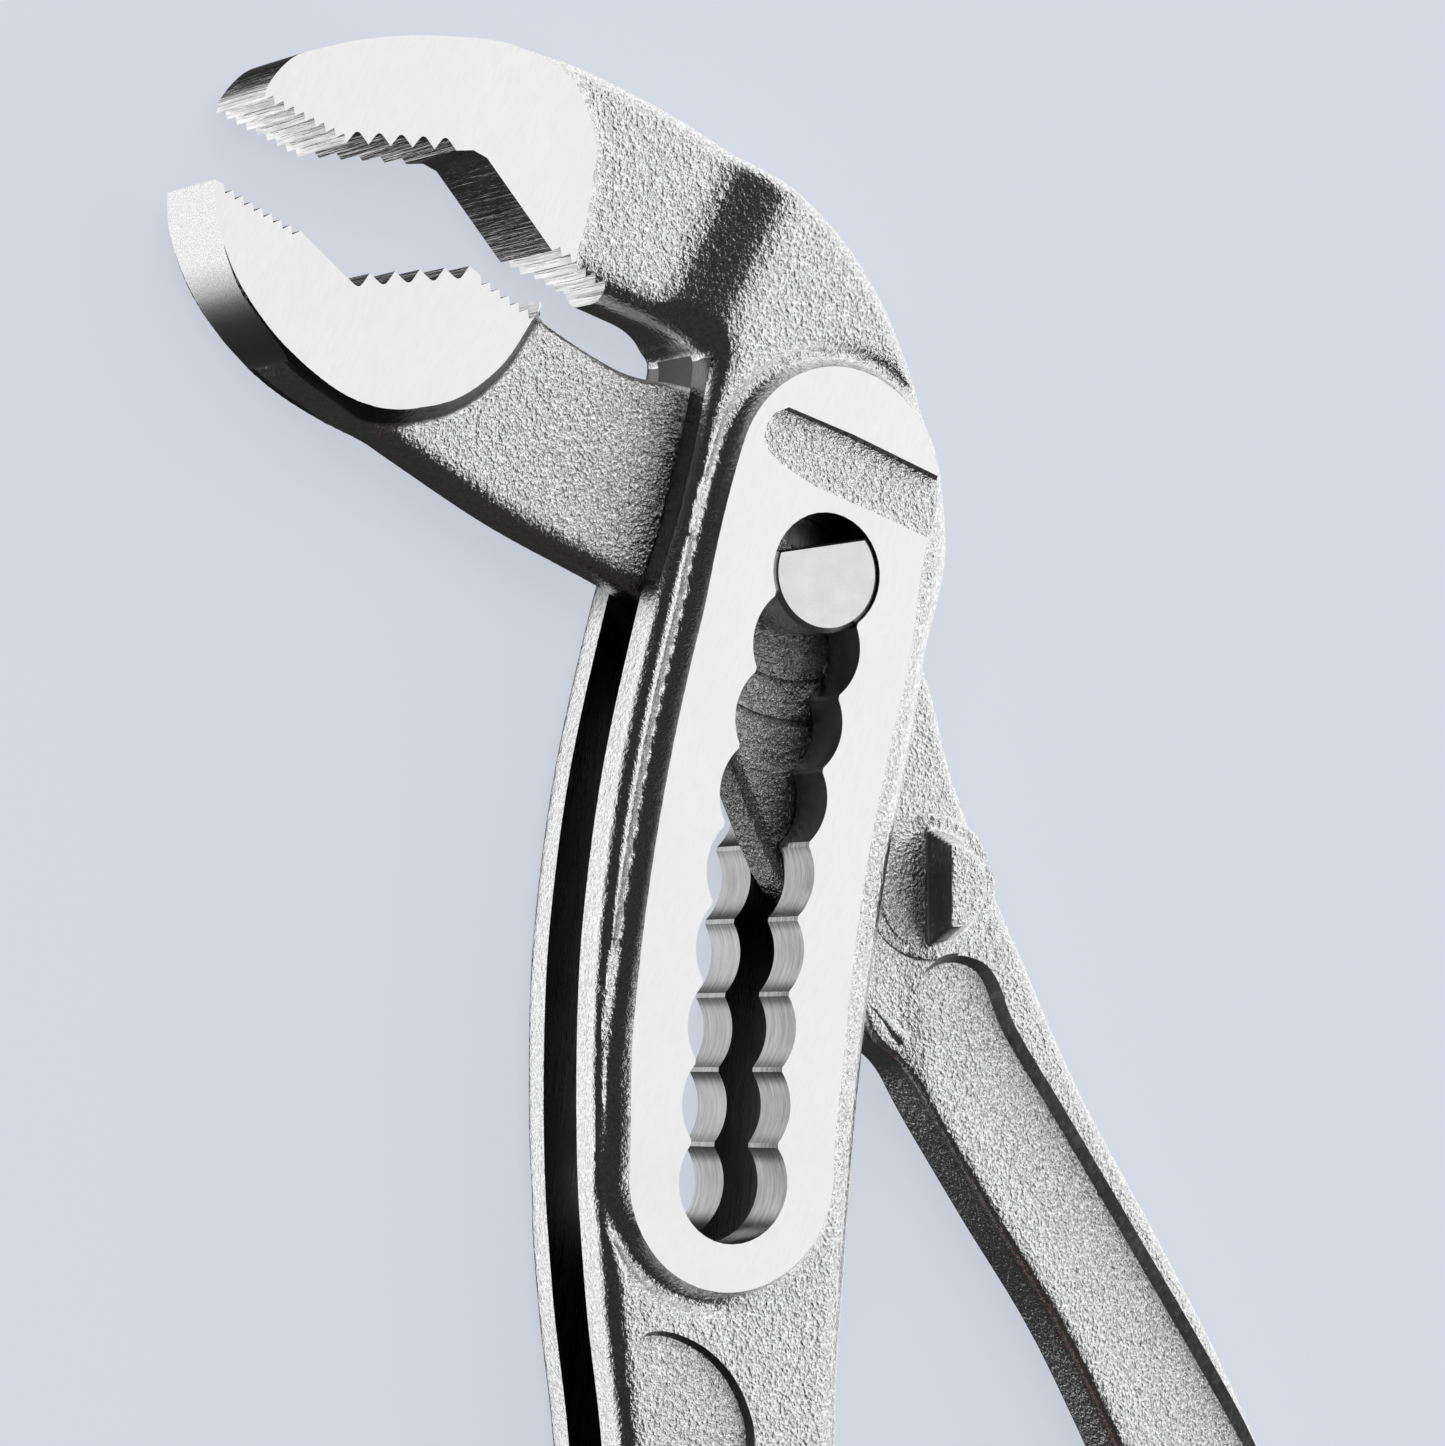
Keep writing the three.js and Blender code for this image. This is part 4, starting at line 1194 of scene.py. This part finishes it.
def build_outer(sizes, colours):
    """The outer half, forged and then cut."""
    finishes = steel_finishes(colours)
    field, grid = shape_outer(sizes)
    piece = soft_object("outer_forging", field, grid, 3, finishes)
    combine(piece, outer_cuts(sizes), "DIFFERENCE", finishes)
    mark_flanks(piece.data)
    mark_throat(piece.data)
    lift(piece.data, FORGING_CREASE)
    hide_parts("outer_half")
    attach(piece, "outer")


# Inner half

def lower_outline():
    """Outline of the inner half's blank, down to its tang's end inside the grip."""
    right_side, left_side = tang_sides("inner")
    bite = ("tip", "tip_end", "wide_start", "wide_end", "throat_end")
    bite = on_lower_jaw([LOWER_BITE_SHARES[name] for name in bite])
    return np.concatenate([
        smooth(on_lower_jaw(LOWER_FRONT_SHARES)),
        bite + (0, BITE_STOCK),
        smooth(on_lower_jaw(SHANK_UPPER_SHARES)),
        arc(HUB_RADIUS, *HUB_ARC, HUB_STEPS),
        smooth(np.concatenate([on_arm(ARM_RIGHT_SHARES), right_side])),
        smooth(np.concatenate([
            left_side[::-1], on_arm(ARM_LEFT_SHARES), on_lower_jaw(SHANK_LOWER_SHARES)])),
    ])


def clear_of_box(x, y, width):
    """1 where the arm stays outside the box when the handles close, and 0 where it slides in."""
    return ramp(x - BOX_SIDE - BOX_SIDE_SLOPE * (y + BOX_SIDE_DROP), 0, width)


def shape_inner(sizes):
    """The inner half's forged body, with stock on its jaw."""
    grid = Grid(
        (-LOWER_REACH - GRID_MARGIN, -TANG_CUT_DROP - GRID_MARGIN, -MIDDLE),
        (TANG_LEAN["inner"] + ARM_MARGIN, LOWER_RISE + JAW_MARGIN, MIDDLE), sizes.grain)
    x, y = grid.x, grid.y
    blank = outline_distance(lower_outline(), x, y)
    reach = np.hypot(x, y)
    arm = ramp(reach, *ARM_THICKENS[1]) * ramp(-y, *ARM_THICKENS[0]) * clear_of_box(x, y, ARM_CLEARS)
    half = sizes.shank_half + (sizes.arm_half - sizes.shank_half) * arm
    half = half + HUB_RIDGE * np.exp(-((reach - HUB_RIDGE_RADIUS) / HUB_RIDGE_WIDTH) ** 2)
    under = ramp(-(y + UNDER_SLOPE * x), *UNDER_RUNS[0]) * ramp(-x, *UNDER_RUNS[1])
    body = slab(blank, half, SHANK_ROUNDING + UNDER_ROUNDING * under, grid.height)
    pad = outline_distance(np.concatenate([
        smooth(on_lower_jaw(LOWER_PAD_SHARES)), on_lower_jaw(LOWER_PAD_FRONT_SHARES)]), x, y)
    pad_body = raised(pad, sizes.jaw_half, PAD_STOCK, LOWER_PAD_DRAFT, blank, grid.height)
    return soft_union(body, pad_body, LOWER_PAD_FILLET), grid


def shape_lug(sizes):
    """The guard lug on its round base, on a finer grid of its own."""
    grid = Grid((*(LUG_PLACE - LUG_SPACE), -MIDDLE), (*(LUG_PLACE + LUG_SPACE), MIDDLE), FINE_GRAIN)
    blank = outline_distance(lower_outline(), grid.x, grid.y)[:, :, None]
    x = grid.x - LUG_PLACE[0]
    y = grid.y - LUG_PLACE[1]
    swelling = LUG_RADIUS + LUG_DRAFT * np.maximum(LUG_HALF - grid.height, 0)
    disc = np.hypot(x + LUG_SIDE, y)[:, :, None] - swelling
    half_disc = np.maximum(disc, -(x + LUG_SIDE)[:, :, None])
    lug = np.maximum(half_disc, grid.height - LUG_HALF)
    low, high = LUG_BASE_RISE
    base_half = sizes.shank_half + low + high * clear_of_box(grid.x, grid.y, ARM_CLEARS)
    base = slab(np.hypot(x, y) - LUG_BASE_RADIUS, base_half, LUG_BASE_ROUNDING, grid.height)
    pad_x = x - LUG_PAD_PLACE[0]
    pad = np.hypot(pad_x * LUG_PAD_SQUEEZE, y - LUG_PAD_PLACE[1]) - LUG_PAD_RADIUS
    pad = slab(
        np.maximum(pad, pad_x), sizes.gap_half - SLIDING_PLAY, LUG_PAD_ROUNDING, grid.height)
    body = soft_union(lug, np.maximum(base, blank), LUG_FILLET)
    return soft_union(body, pad, LUG_PAD_ROUNDING), grid


def shape_bump(sizes):
    """The stop bump, which rises away from the box."""
    outline = smooth(on_arm(BUMP_SHARES))
    grid = Grid(
        (*(outline.min(0) - SMALL_MARGIN), -MIDDLE), (*(outline.max(0) + SMALL_MARGIN), MIDDLE),
        FINE_GRAIN)
    rise = BUMP_RISE * clear_of_box(grid.x, grid.y, BUMP_CLEARS)
    half = sizes.gap_half - SLIDING_PLAY + rise
    return slab(outline_distance(outline, grid.x, grid.y), half, BUMP_ROUNDING, grid.height), grid


def inner_cuts(sizes):
    """Everything that is ground, broached and turned on the inner half."""
    fine = -sizes.fine_tooth_depth
    at = dict(zip(LOWER_BITE_SHARES, on_lower_jaw(list(LOWER_BITE_SHARES.values()))))
    mouth = np.concatenate([
        [at["tip"]],
        toothed(at["tip_start"], at["tip_end"], TIP_TEETH, fine),
        [at["tip_end"]],
        toothed(at["wide_start"], at["wide_end"], WIDE_TEETH, -sizes.tooth_depth, VALLEY_ROUND),
        [at["wide_end"]],
        toothed(at["throat_start"], at["throat_end"], THROAT_TEETH, fine),
        [at["throat_end"]],
        on_lower_jaw(LOWER_MOUTH_SHARES),
    ])
    front = smooth(on_lower_jaw(LOWER_FRONT_SHARES[1:]), FRONT_STEPS)
    front = np.concatenate([beside(front, 0, TIP_WALL_CUT), on_lower_jaw(LOWER_FRONT_CLEAR_SHARES)])
    pad_region = on_lower_jaw(LOWER_PAD_REGION_SHARES)
    grooves = [
        ring_cutter(inner, outer, sizes.shank_half - HUB_GROOVE_DEPTH, sizes.gap_half, IN_BOX)
        for inner, outer in HUB_GROOVES]
    return both_faces([prism(pad_region, sizes.jaw_half, CUT_HEIGHT, GROUND)]) + [
        prism(front, -CUT_HEIGHT, CUT_HEIGHT, FRONT_WALL),
        prism(mouth, -CUT_HEIGHT, CUT_HEIGHT, BITE),
    ] + both_faces([
        panel(
            smooth(on_arm(ARM_PANEL_SHARES), ARM_PANEL_STEPS), sizes.arm_half, ARM_PANEL_DEPTH,
            ARM_PANEL_DRAFT),
        *grooves])


def mark_box_and_shade(mesh):
    """Faces in the box are darker along the slot and get painted shade above the bolt; the lug's and pad's
    walls get painted shade.
    """
    centres, normals, finish = face_table(mesh)
    x, y = centres[:, 0], centres[:, 1]
    down, left = slot_places(x, y)
    forged = (finish == FORGED) | (finish == FLANK)
    inside = (np.abs(left) < IN_BOX_HALF_WIDTH) & (down > -BOSS_ABOVE_BOLT) & forged
    finish[inside & (down < SEAT_PITCH * SEAT_COUNT)] = IN_BOX
    # Painted shade on the hub above the bolt
    finish[inside & (down < -BOLT_FLAT_DISTANCE)] = MILLED_AND_SHADE
    # Painted shade on the lug's walls turned to the lower left
    near_lug = np.hypot(x - LUG_PLACE[0], y - LUG_PLACE[1]) < LUG_WALL_REACH
    finish[near_lug & (normals[:, 0] + normals[:, 1] < LUG_WALL_TURN) & forged] = MILLED_AND_SHADE
    # The lower pad's wall gets painted shade, faded in above its foot
    finish[(x < -PAD_WALL_SIDE) & (finish == FLANK)] = PAD_WALL
    mesh.polygons.foreach_set("material_index", finish)


def build_inner(sizes, colours):
    """The inner half, forged with its lug and bump and then cut."""
    finishes = steel_finishes(colours)
    field, grid = shape_inner(sizes)
    piece = soft_object("inner_forging", field, grid, 2, finishes)
    extras = []
    for field, grid in (shape_lug(sizes), shape_bump(sizes)):
        places, quads = surface(field, grid)
        extras.append((relax(places, quads, 1), quads, FORGED))
    combine(piece, extras, "UNION", finishes)
    combine(piece, inner_cuts(sizes), "DIFFERENCE", finishes)
    mark_flanks(piece.data)
    mark_box_and_shade(piece.data)
    lift(piece.data, FORGING_CREASE)
    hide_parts("inner_half")
    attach(piece, "inner")


# Bolt

def build_bolt(sizes, colours):
    """The bolt as it stands in the photograph, its flat turned towards the jaws."""
    half_turn = math.acos(BOLT_FLAT_DISTANCE / sizes.bolt_radius)
    top = MIDDLE - BOLT_CHAMFER
    profile = [(BOLT_CHAMFER, -MIDDLE), (0, -top), (0, top), (BOLT_CHAMFER, MIDDLE)]
    angles = BOLT_FLAT_TURN + np.linspace(half_turn, 2 * math.pi - half_turn, TURNED_STEPS + 1)
    ring = len(angles)
    places = []
    for inset, height in profile:
        reach = sizes.bolt_radius - inset
        places += [(reach * math.cos(angle), reach * math.sin(angle), height) for angle in angles]
    faces = [tuple(range(ring))[::-1], tuple(range(3 * ring, 4 * ring))]
    for level in range(3):
        for step in range(ring):
            this = level * ring + step
            after = level * ring + (step + 1) % ring
            faces.append((this, after, ring + after, ring + this))
    mesh = new_mesh("bolt", places, faces, [bolt_material(colours)])
    lift(mesh, BOLT_CREASE)
    piece = new_object("bolt", mesh)
    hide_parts("hinge_bolt")
    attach(piece, "inner")


# Grips

def grip_line(side):
    """Evenly spaced middle line of a grip, from its collar to its tail."""
    line = smooth(scaled(TANG_LINE_SHARES[side], TANG_LEAN[side], -TANG_END_DROP), GRIP_STEPS)
    tail_way = line[-1] - line[-2]
    tail_way /= np.linalg.norm(tail_way)
    line = np.concatenate([line[-line[:, 1] >= GRIP_START_DROP], [line[-1] + tail_way * GRIP_TAIL]])
    run = np.concatenate([[0], np.cumsum(np.linalg.norm(np.diff(line, axis=0), axis=1))])
    even = np.linspace(0, run[-1], GRIP_POINTS)
    return np.stack([np.interp(even, run, line[:, i]) for i in (0, 1)], 1)


def line_places(line, x, y):
    """How far along a line and how far to its left each grid point is, and the line's length."""
    best = np.full(x.shape, np.inf)
    along = np.zeros(x.shape)
    left = np.zeros(x.shape)
    start = 0.0
    for (ax, ay), (bx, by) in zip(line[:-1], line[1:]):
        length = math.hypot(bx - ax, by - ay)
        way_x = (bx - ax) / length
        way_y = (by - ay) / length
        raw = (x - ax) * way_x + (y - ay) * way_y
        held = np.clip(raw, 0, length)
        distance = np.hypot(x - ax - held * way_x, y - ay - held * way_y)
        closer = distance < best
        best = np.where(closer, distance, best)
        along = np.where(closer, start + raw, along)
        left = np.where(closer, -(x - ax) * way_y + (y - ay) * way_x, left)
        start += length
    return along, left, start


def grip_body(along, left, length, height):
    """Body of a grip: square at its collar, waisted, and round at its tail."""
    knots = np.linspace(0, length, len(GRIP_WIDTH_SHARES))
    run = np.linspace(0, length, WIDTH_POINTS)
    kernel = np.hanning(WIDTH_WINDOW)
    widths = np.interp(run, knots, GRIP_WIDTH_SHARES)
    widths = np.pad(widths, WIDTH_WINDOW // 2, mode="edge")
    widths = np.convolve(widths, kernel / kernel.sum(), "valid")
    flank = np.abs(left) - (np.interp(along, run, widths) * GRIP_WIDTH / 2 - GRIP_SHELL)
    end = np.maximum(-along, along - length)
    side = flank + GRIP_END_ROUNDING
    past = end + GRIP_END_ROUNDING
    corner = np.hypot(np.maximum(side, 0), np.maximum(past, 0)) - GRIP_END_ROUNDING
    outline = np.where(past > 0, corner + np.minimum(np.maximum(side, past), 0), flank)
    outline = np.where(along < length / 2, np.maximum(flank, -along), outline)
    half = GRIP_HALF - GRIP_THINNING * ramp(along, *GRIP_THINNING_RUN)
    return slab(outline, half, GRIP_ROUNDING, height)


def inlay_window(along, palm_way, length):
    """Where the soft inlay lies, negative inside, and its cross ribs."""
    swell = np.minimum(along - INLAY_START, length - INLAY_STOP - along)
    edge = INLAY_EDGE + INLAY_EDGE_SWEEP * (1 - ramp(swell, 0, INLAY_SWEEP_RUN))
    window = np.maximum(edge - palm_way, -swell)
    wave = 0.5 + 0.5 * np.cos(2 * math.pi * along / RIB_PITCH)
    ribs = RIB_DEPTH * wave * ramp(-window, *RIB_RUN)
    return window[:, :, None], ribs[:, :, None]


def build_grip(side, palm, colours):
    """A hard sleeve over a tang, and the soft inlay on its palm side."""
    line = grip_line(side)
    low = line.min(0) - GRIP_WIDTH
    high = line.max(0) + GRIP_WIDTH
    grid = Grid((*low, -MIDDLE - SMALL_MARGIN), (*high, MIDDLE + SMALL_MARGIN), GRIP_GRAIN)
    along, left, length = line_places(line, grid.x, grid.y)
    body = grip_body(along, left, length, grid.height)
    window, ribs = inlay_window(along, left * palm, length)
    core = np.maximum(body, -np.maximum(window - SEAM, -body - INLAY_DEPTH - SEAM))
    inlay = np.maximum(np.maximum(body - SEAM + ribs, window + SEAM), -body - INLAY_DEPTH)

    hard = moulded_material(
        "hard_grip", colours.core, roughness=0.42, scale=1500.0, depth=0.02 * MM)
    core_piece = soft_object(f"{side}_grip_hard", core, grid, 1, [hard])
    width_play, height_play = POCKET_CLEARANCE
    near, far = strip_sides(
        tang_line(side, POCKET_START_DROP, TANG_CUT_DROP + POCKET_END), TANG_WIDTH[side] + width_play)
    half = TANG_HALF[side] + height_play
    pocket = prism(np.concatenate([near, far[::-1]]), -half, half, 0)
    combine(core_piece, [pocket], "DIFFERENCE", [hard])
    soft = moulded_material(
        "soft_grip", colours.inlay, roughness=0.7, scale=2200.0, depth=0.05 * MM)
    inlay_piece = soft_object(f"{side}_grip_soft", inlay, grid, 1, [soft])
    for piece, node, slot in (
            (core_piece, f"{side}_grip_core", "grip_core"),
            (inlay_piece, f"{side}_grip_inlay", "grip_inlay")):
        lift(piece.data, GRIP_CREASE)
        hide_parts(node)
        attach(piece, side)


# Stage

CAMERA_PLACE = (-0.21732, -0.0323, 0.40937)
CAMERA_RIGHT = Vector((0.88404, 0, 0.46741))
CAMERA_UP = Vector((-0.02318, 0.99877, 0.04385))
CAMERA_LENS = 171.93
CAMERA_SENSOR = 36
FLOOR_HALF_SIZE = 3.0
FLOOR_SHARE = 0.22
FLOOR_GLOW = 0.8
LAMP_STRENGTH = 1.9
LAMP_SPREAD = math.radians(50)
LAMP_TURN = (math.radians(-12), math.radians(-18), 0)
SOFT_LIGHT_WAY = (0.9, 0.3, 0.15)
SOFT_LIGHT_EDGE = (0.22, 0.46)
LOW_LIGHT_EDGES = (("X", -0.02, -0.27), ("Z", -0.25, -0.5), ("Y", -0.42, -0.26))
STUDIO_LEVELS = (0.03, 1.04)


def build_stage(colours):
    """Camera as in the photograph, a pale floor, a sun above and the studio round it."""
    scene = bpy.context.scene
    camera = bpy.data.objects.new("camera", bpy.data.cameras.new("camera"))
    camera.data.lens = CAMERA_LENS
    camera.data.sensor_width = CAMERA_SENSOR
    camera.data.sensor_fit = "HORIZONTAL"
    back = CAMERA_RIGHT.cross(CAMERA_UP)
    turn = Matrix((CAMERA_RIGHT, CAMERA_UP, back)).transposed().to_4x4()
    camera.matrix_world = Matrix.Translation(CAMERA_PLACE) @ turn
    scene.collection.objects.link(camera)
    scene.camera = camera

    far = FLOOR_HALF_SIZE
    corners = [(-far, -far, 0), (far, -far, 0), (far, far, 0), (-far, far, 0)]
    floor = new_object("floor", new_mesh("floor", corners, [(0, 1, 2, 3)], [floor_material(colours)]))
    lamp = bpy.data.objects.new("overhead", bpy.data.lights.new("overhead", "SUN"))
    lamp.data.energy = LAMP_STRENGTH
    lamp.data.angle = LAMP_SPREAD
    lamp.rotation_euler = LAMP_TURN
    lamp.visible_glossy = False
    scene.collection.objects.link(lamp)
    scene.world = studio_world(colours)
    scene.view_settings.view_transform = "Standard"


def floor_material(colours):
    """Pale table: it glows a little to the camera, and metal looks through it as through glass."""
    material = bpy.data.materials.new("pale_floor")
    material.use_nodes = True
    tree = material.node_tree
    tree.nodes.clear()
    rays = add_node(tree, "ShaderNodeLightPath").outputs
    matt = add_node(tree, "ShaderNodeBsdfDiffuse", {"Color": opaque(colours.backdrop, FLOOR_SHARE)})
    glow = add_node(tree, "ShaderNodeEmission", {
        "Color": opaque(colours.backdrop), "Strength": FLOOR_GLOW})
    lit = add_node(tree, "ShaderNodeAddShader", {0: matt.outputs[0], 1: glow.outputs[0]})
    seen = add_node(tree, "ShaderNodeMixShader", {
        0: rays["Is Camera Ray"], 1: matt.outputs[0], 2: lit.outputs[0]})
    clear = add_node(tree, "ShaderNodeBsdfTransparent")
    whole = add_node(tree, "ShaderNodeMixShader", {
        0: rays["Is Glossy Ray"], 1: seen.outputs[0], 2: clear.outputs[0]})
    add_node(tree, "ShaderNodeOutputMaterial", {0: whole.outputs[0]})
    return material


def studio_world(colours):
    """A broad soft light from the right and above, and a low one at the left under the table."""
    world = bpy.data.worlds.new("studio")
    world.use_nodes = True
    tree = world.node_tree
    tree.nodes.clear()
    way = add_node(tree, "ShaderNodeTexCoord").outputs["Generated"]
    parts = add_node(tree, "ShaderNodeSeparateXYZ", {0: way}).outputs
    toward = add_node(tree, "ShaderNodeVectorMath", {
        0: way, 1: Vector(SOFT_LIGHT_WAY).normalized()}, operation="DOT_PRODUCT").outputs["Value"]
    broad = ranged(tree, toward, *SOFT_LIGHT_EDGE, kind="SMOOTHSTEP")
    left, under, behind = [
        ranged(tree, parts[axis], start, end, kind="SMOOTHSTEP")
        for axis, start, end in LOW_LIGHT_EDGES]
    low = math_of(tree, "MULTIPLY", math_of(tree, "MULTIPLY", left, under), behind)
    level = ranged(tree, math_of(tree, "MAXIMUM", broad, low), 0.0, 1.0, *STUDIO_LEVELS)
    studio = add_node(tree, "ShaderNodeBackground", {"Color": level})
    seen = add_node(tree, "ShaderNodeBackground", {"Color": opaque(colours.backdrop)})
    rays = add_node(tree, "ShaderNodeLightPath").outputs
    mix = add_node(tree, "ShaderNodeMixShader", {
        0: rays["Is Camera Ray"], 1: studio.outputs[0], 2: seen.outputs[0]})
    add_node(tree, "ShaderNodeOutputWorld", {0: mix.outputs[0]})
    return world


# Tools and their panel

class PLIERS_OT_outer_half(bpy.types.Operator):
    """Adds the forged outer half with its box, slot and upper jaw"""
    bl_idname = "pliers.outer_half"
    bl_label = "Add Outer Half"

    def execute(self, context):
        build_outer(context.scene.pliers_sizes, context.scene.pliers_finishes)
        return {"FINISHED"}


class PLIERS_OT_inner_half(bpy.types.Operator):
    """Adds the forged inner half with its shank, lower jaw, lug and arm"""
    bl_idname = "pliers.inner_half"
    bl_label = "Add Inner Half"

    def execute(self, context):
        build_inner(context.scene.pliers_sizes, context.scene.pliers_finishes)
        return {"FINISHED"}


class PLIERS_OT_bolt(bpy.types.Operator):
    """Adds the hinge bolt in its top seat"""
    bl_idname = "pliers.bolt"
    bl_label = "Add Hinge Bolt"

    def execute(self, context):
        build_bolt(context.scene.pliers_sizes, context.scene.pliers_finishes)
        return {"FINISHED"}


class PLIERS_OT_grips(bpy.types.Operator):
    """Adds both moulded grips with their soft inlays"""
    bl_idname = "pliers.grips"
    bl_label = "Add Grips"

    def execute(self, context):
        build_grip("outer", -1, context.scene.pliers_finishes)
        build_grip("inner", 1, context.scene.pliers_finishes)
        return {"FINISHED"}


class PLIERS_OT_stage(bpy.types.Operator):
    """Adds the camera, the lights and the pale floor"""
    bl_idname = "pliers.stage"
    bl_label = "Add Camera, Lights and Floor"

    def execute(self, context):
        build_stage(context.scene.pliers_finishes)
        return {"FINISHED"}


class PLIERS_PT_tools(bpy.types.Panel):
    """Settings and steps of the pliers"""
    bl_idname = "PLIERS_PT_tools"
    bl_label = "Water Pump Pliers"
    bl_space_type = "VIEW_3D"
    bl_region_type = "UI"
    bl_category = "Pliers"

    def draw(self, context):
        column = self.layout.column()
        for settings in (context.scene.pliers_sizes, context.scene.pliers_finishes):
            for name in settings.__annotations__:
                column.prop(settings, name)
            column.separator()
        for tool in TOOLS:
            column.operator(tool.bl_idname)


TOOLS = (
    PLIERS_OT_outer_half, PLIERS_OT_inner_half, PLIERS_OT_bolt, PLIERS_OT_grips, PLIERS_OT_stage)
CLASSES = (PliersSizes, PliersFinishes, *TOOLS, PLIERS_PT_tools)


def register():
    """Adds the classes and their settings to Blender."""
    for cls in CLASSES:
        bpy.utils.register_class(cls)
    bpy.types.Scene.pliers_sizes = bpy.props.PointerProperty(type=PliersSizes)
    bpy.types.Scene.pliers_finishes = bpy.props.PointerProperty(type=PliersFinishes)


def unregister():
    """Takes the classes and their settings out again."""
    del bpy.types.Scene.pliers_finishes
    del bpy.types.Scene.pliers_sizes
    for cls in reversed(CLASSES):
        bpy.utils.unregister_class(cls)


def main():
    """Builds the pliers and their stage."""
    register()
    bpy.ops.pliers.outer_half()
    bpy.ops.pliers.inner_half()
    bpy.ops.pliers.bolt()
    bpy.ops.pliers.grips()
    bpy.ops.pliers.stage()


if __name__ == "__main__":
    main()
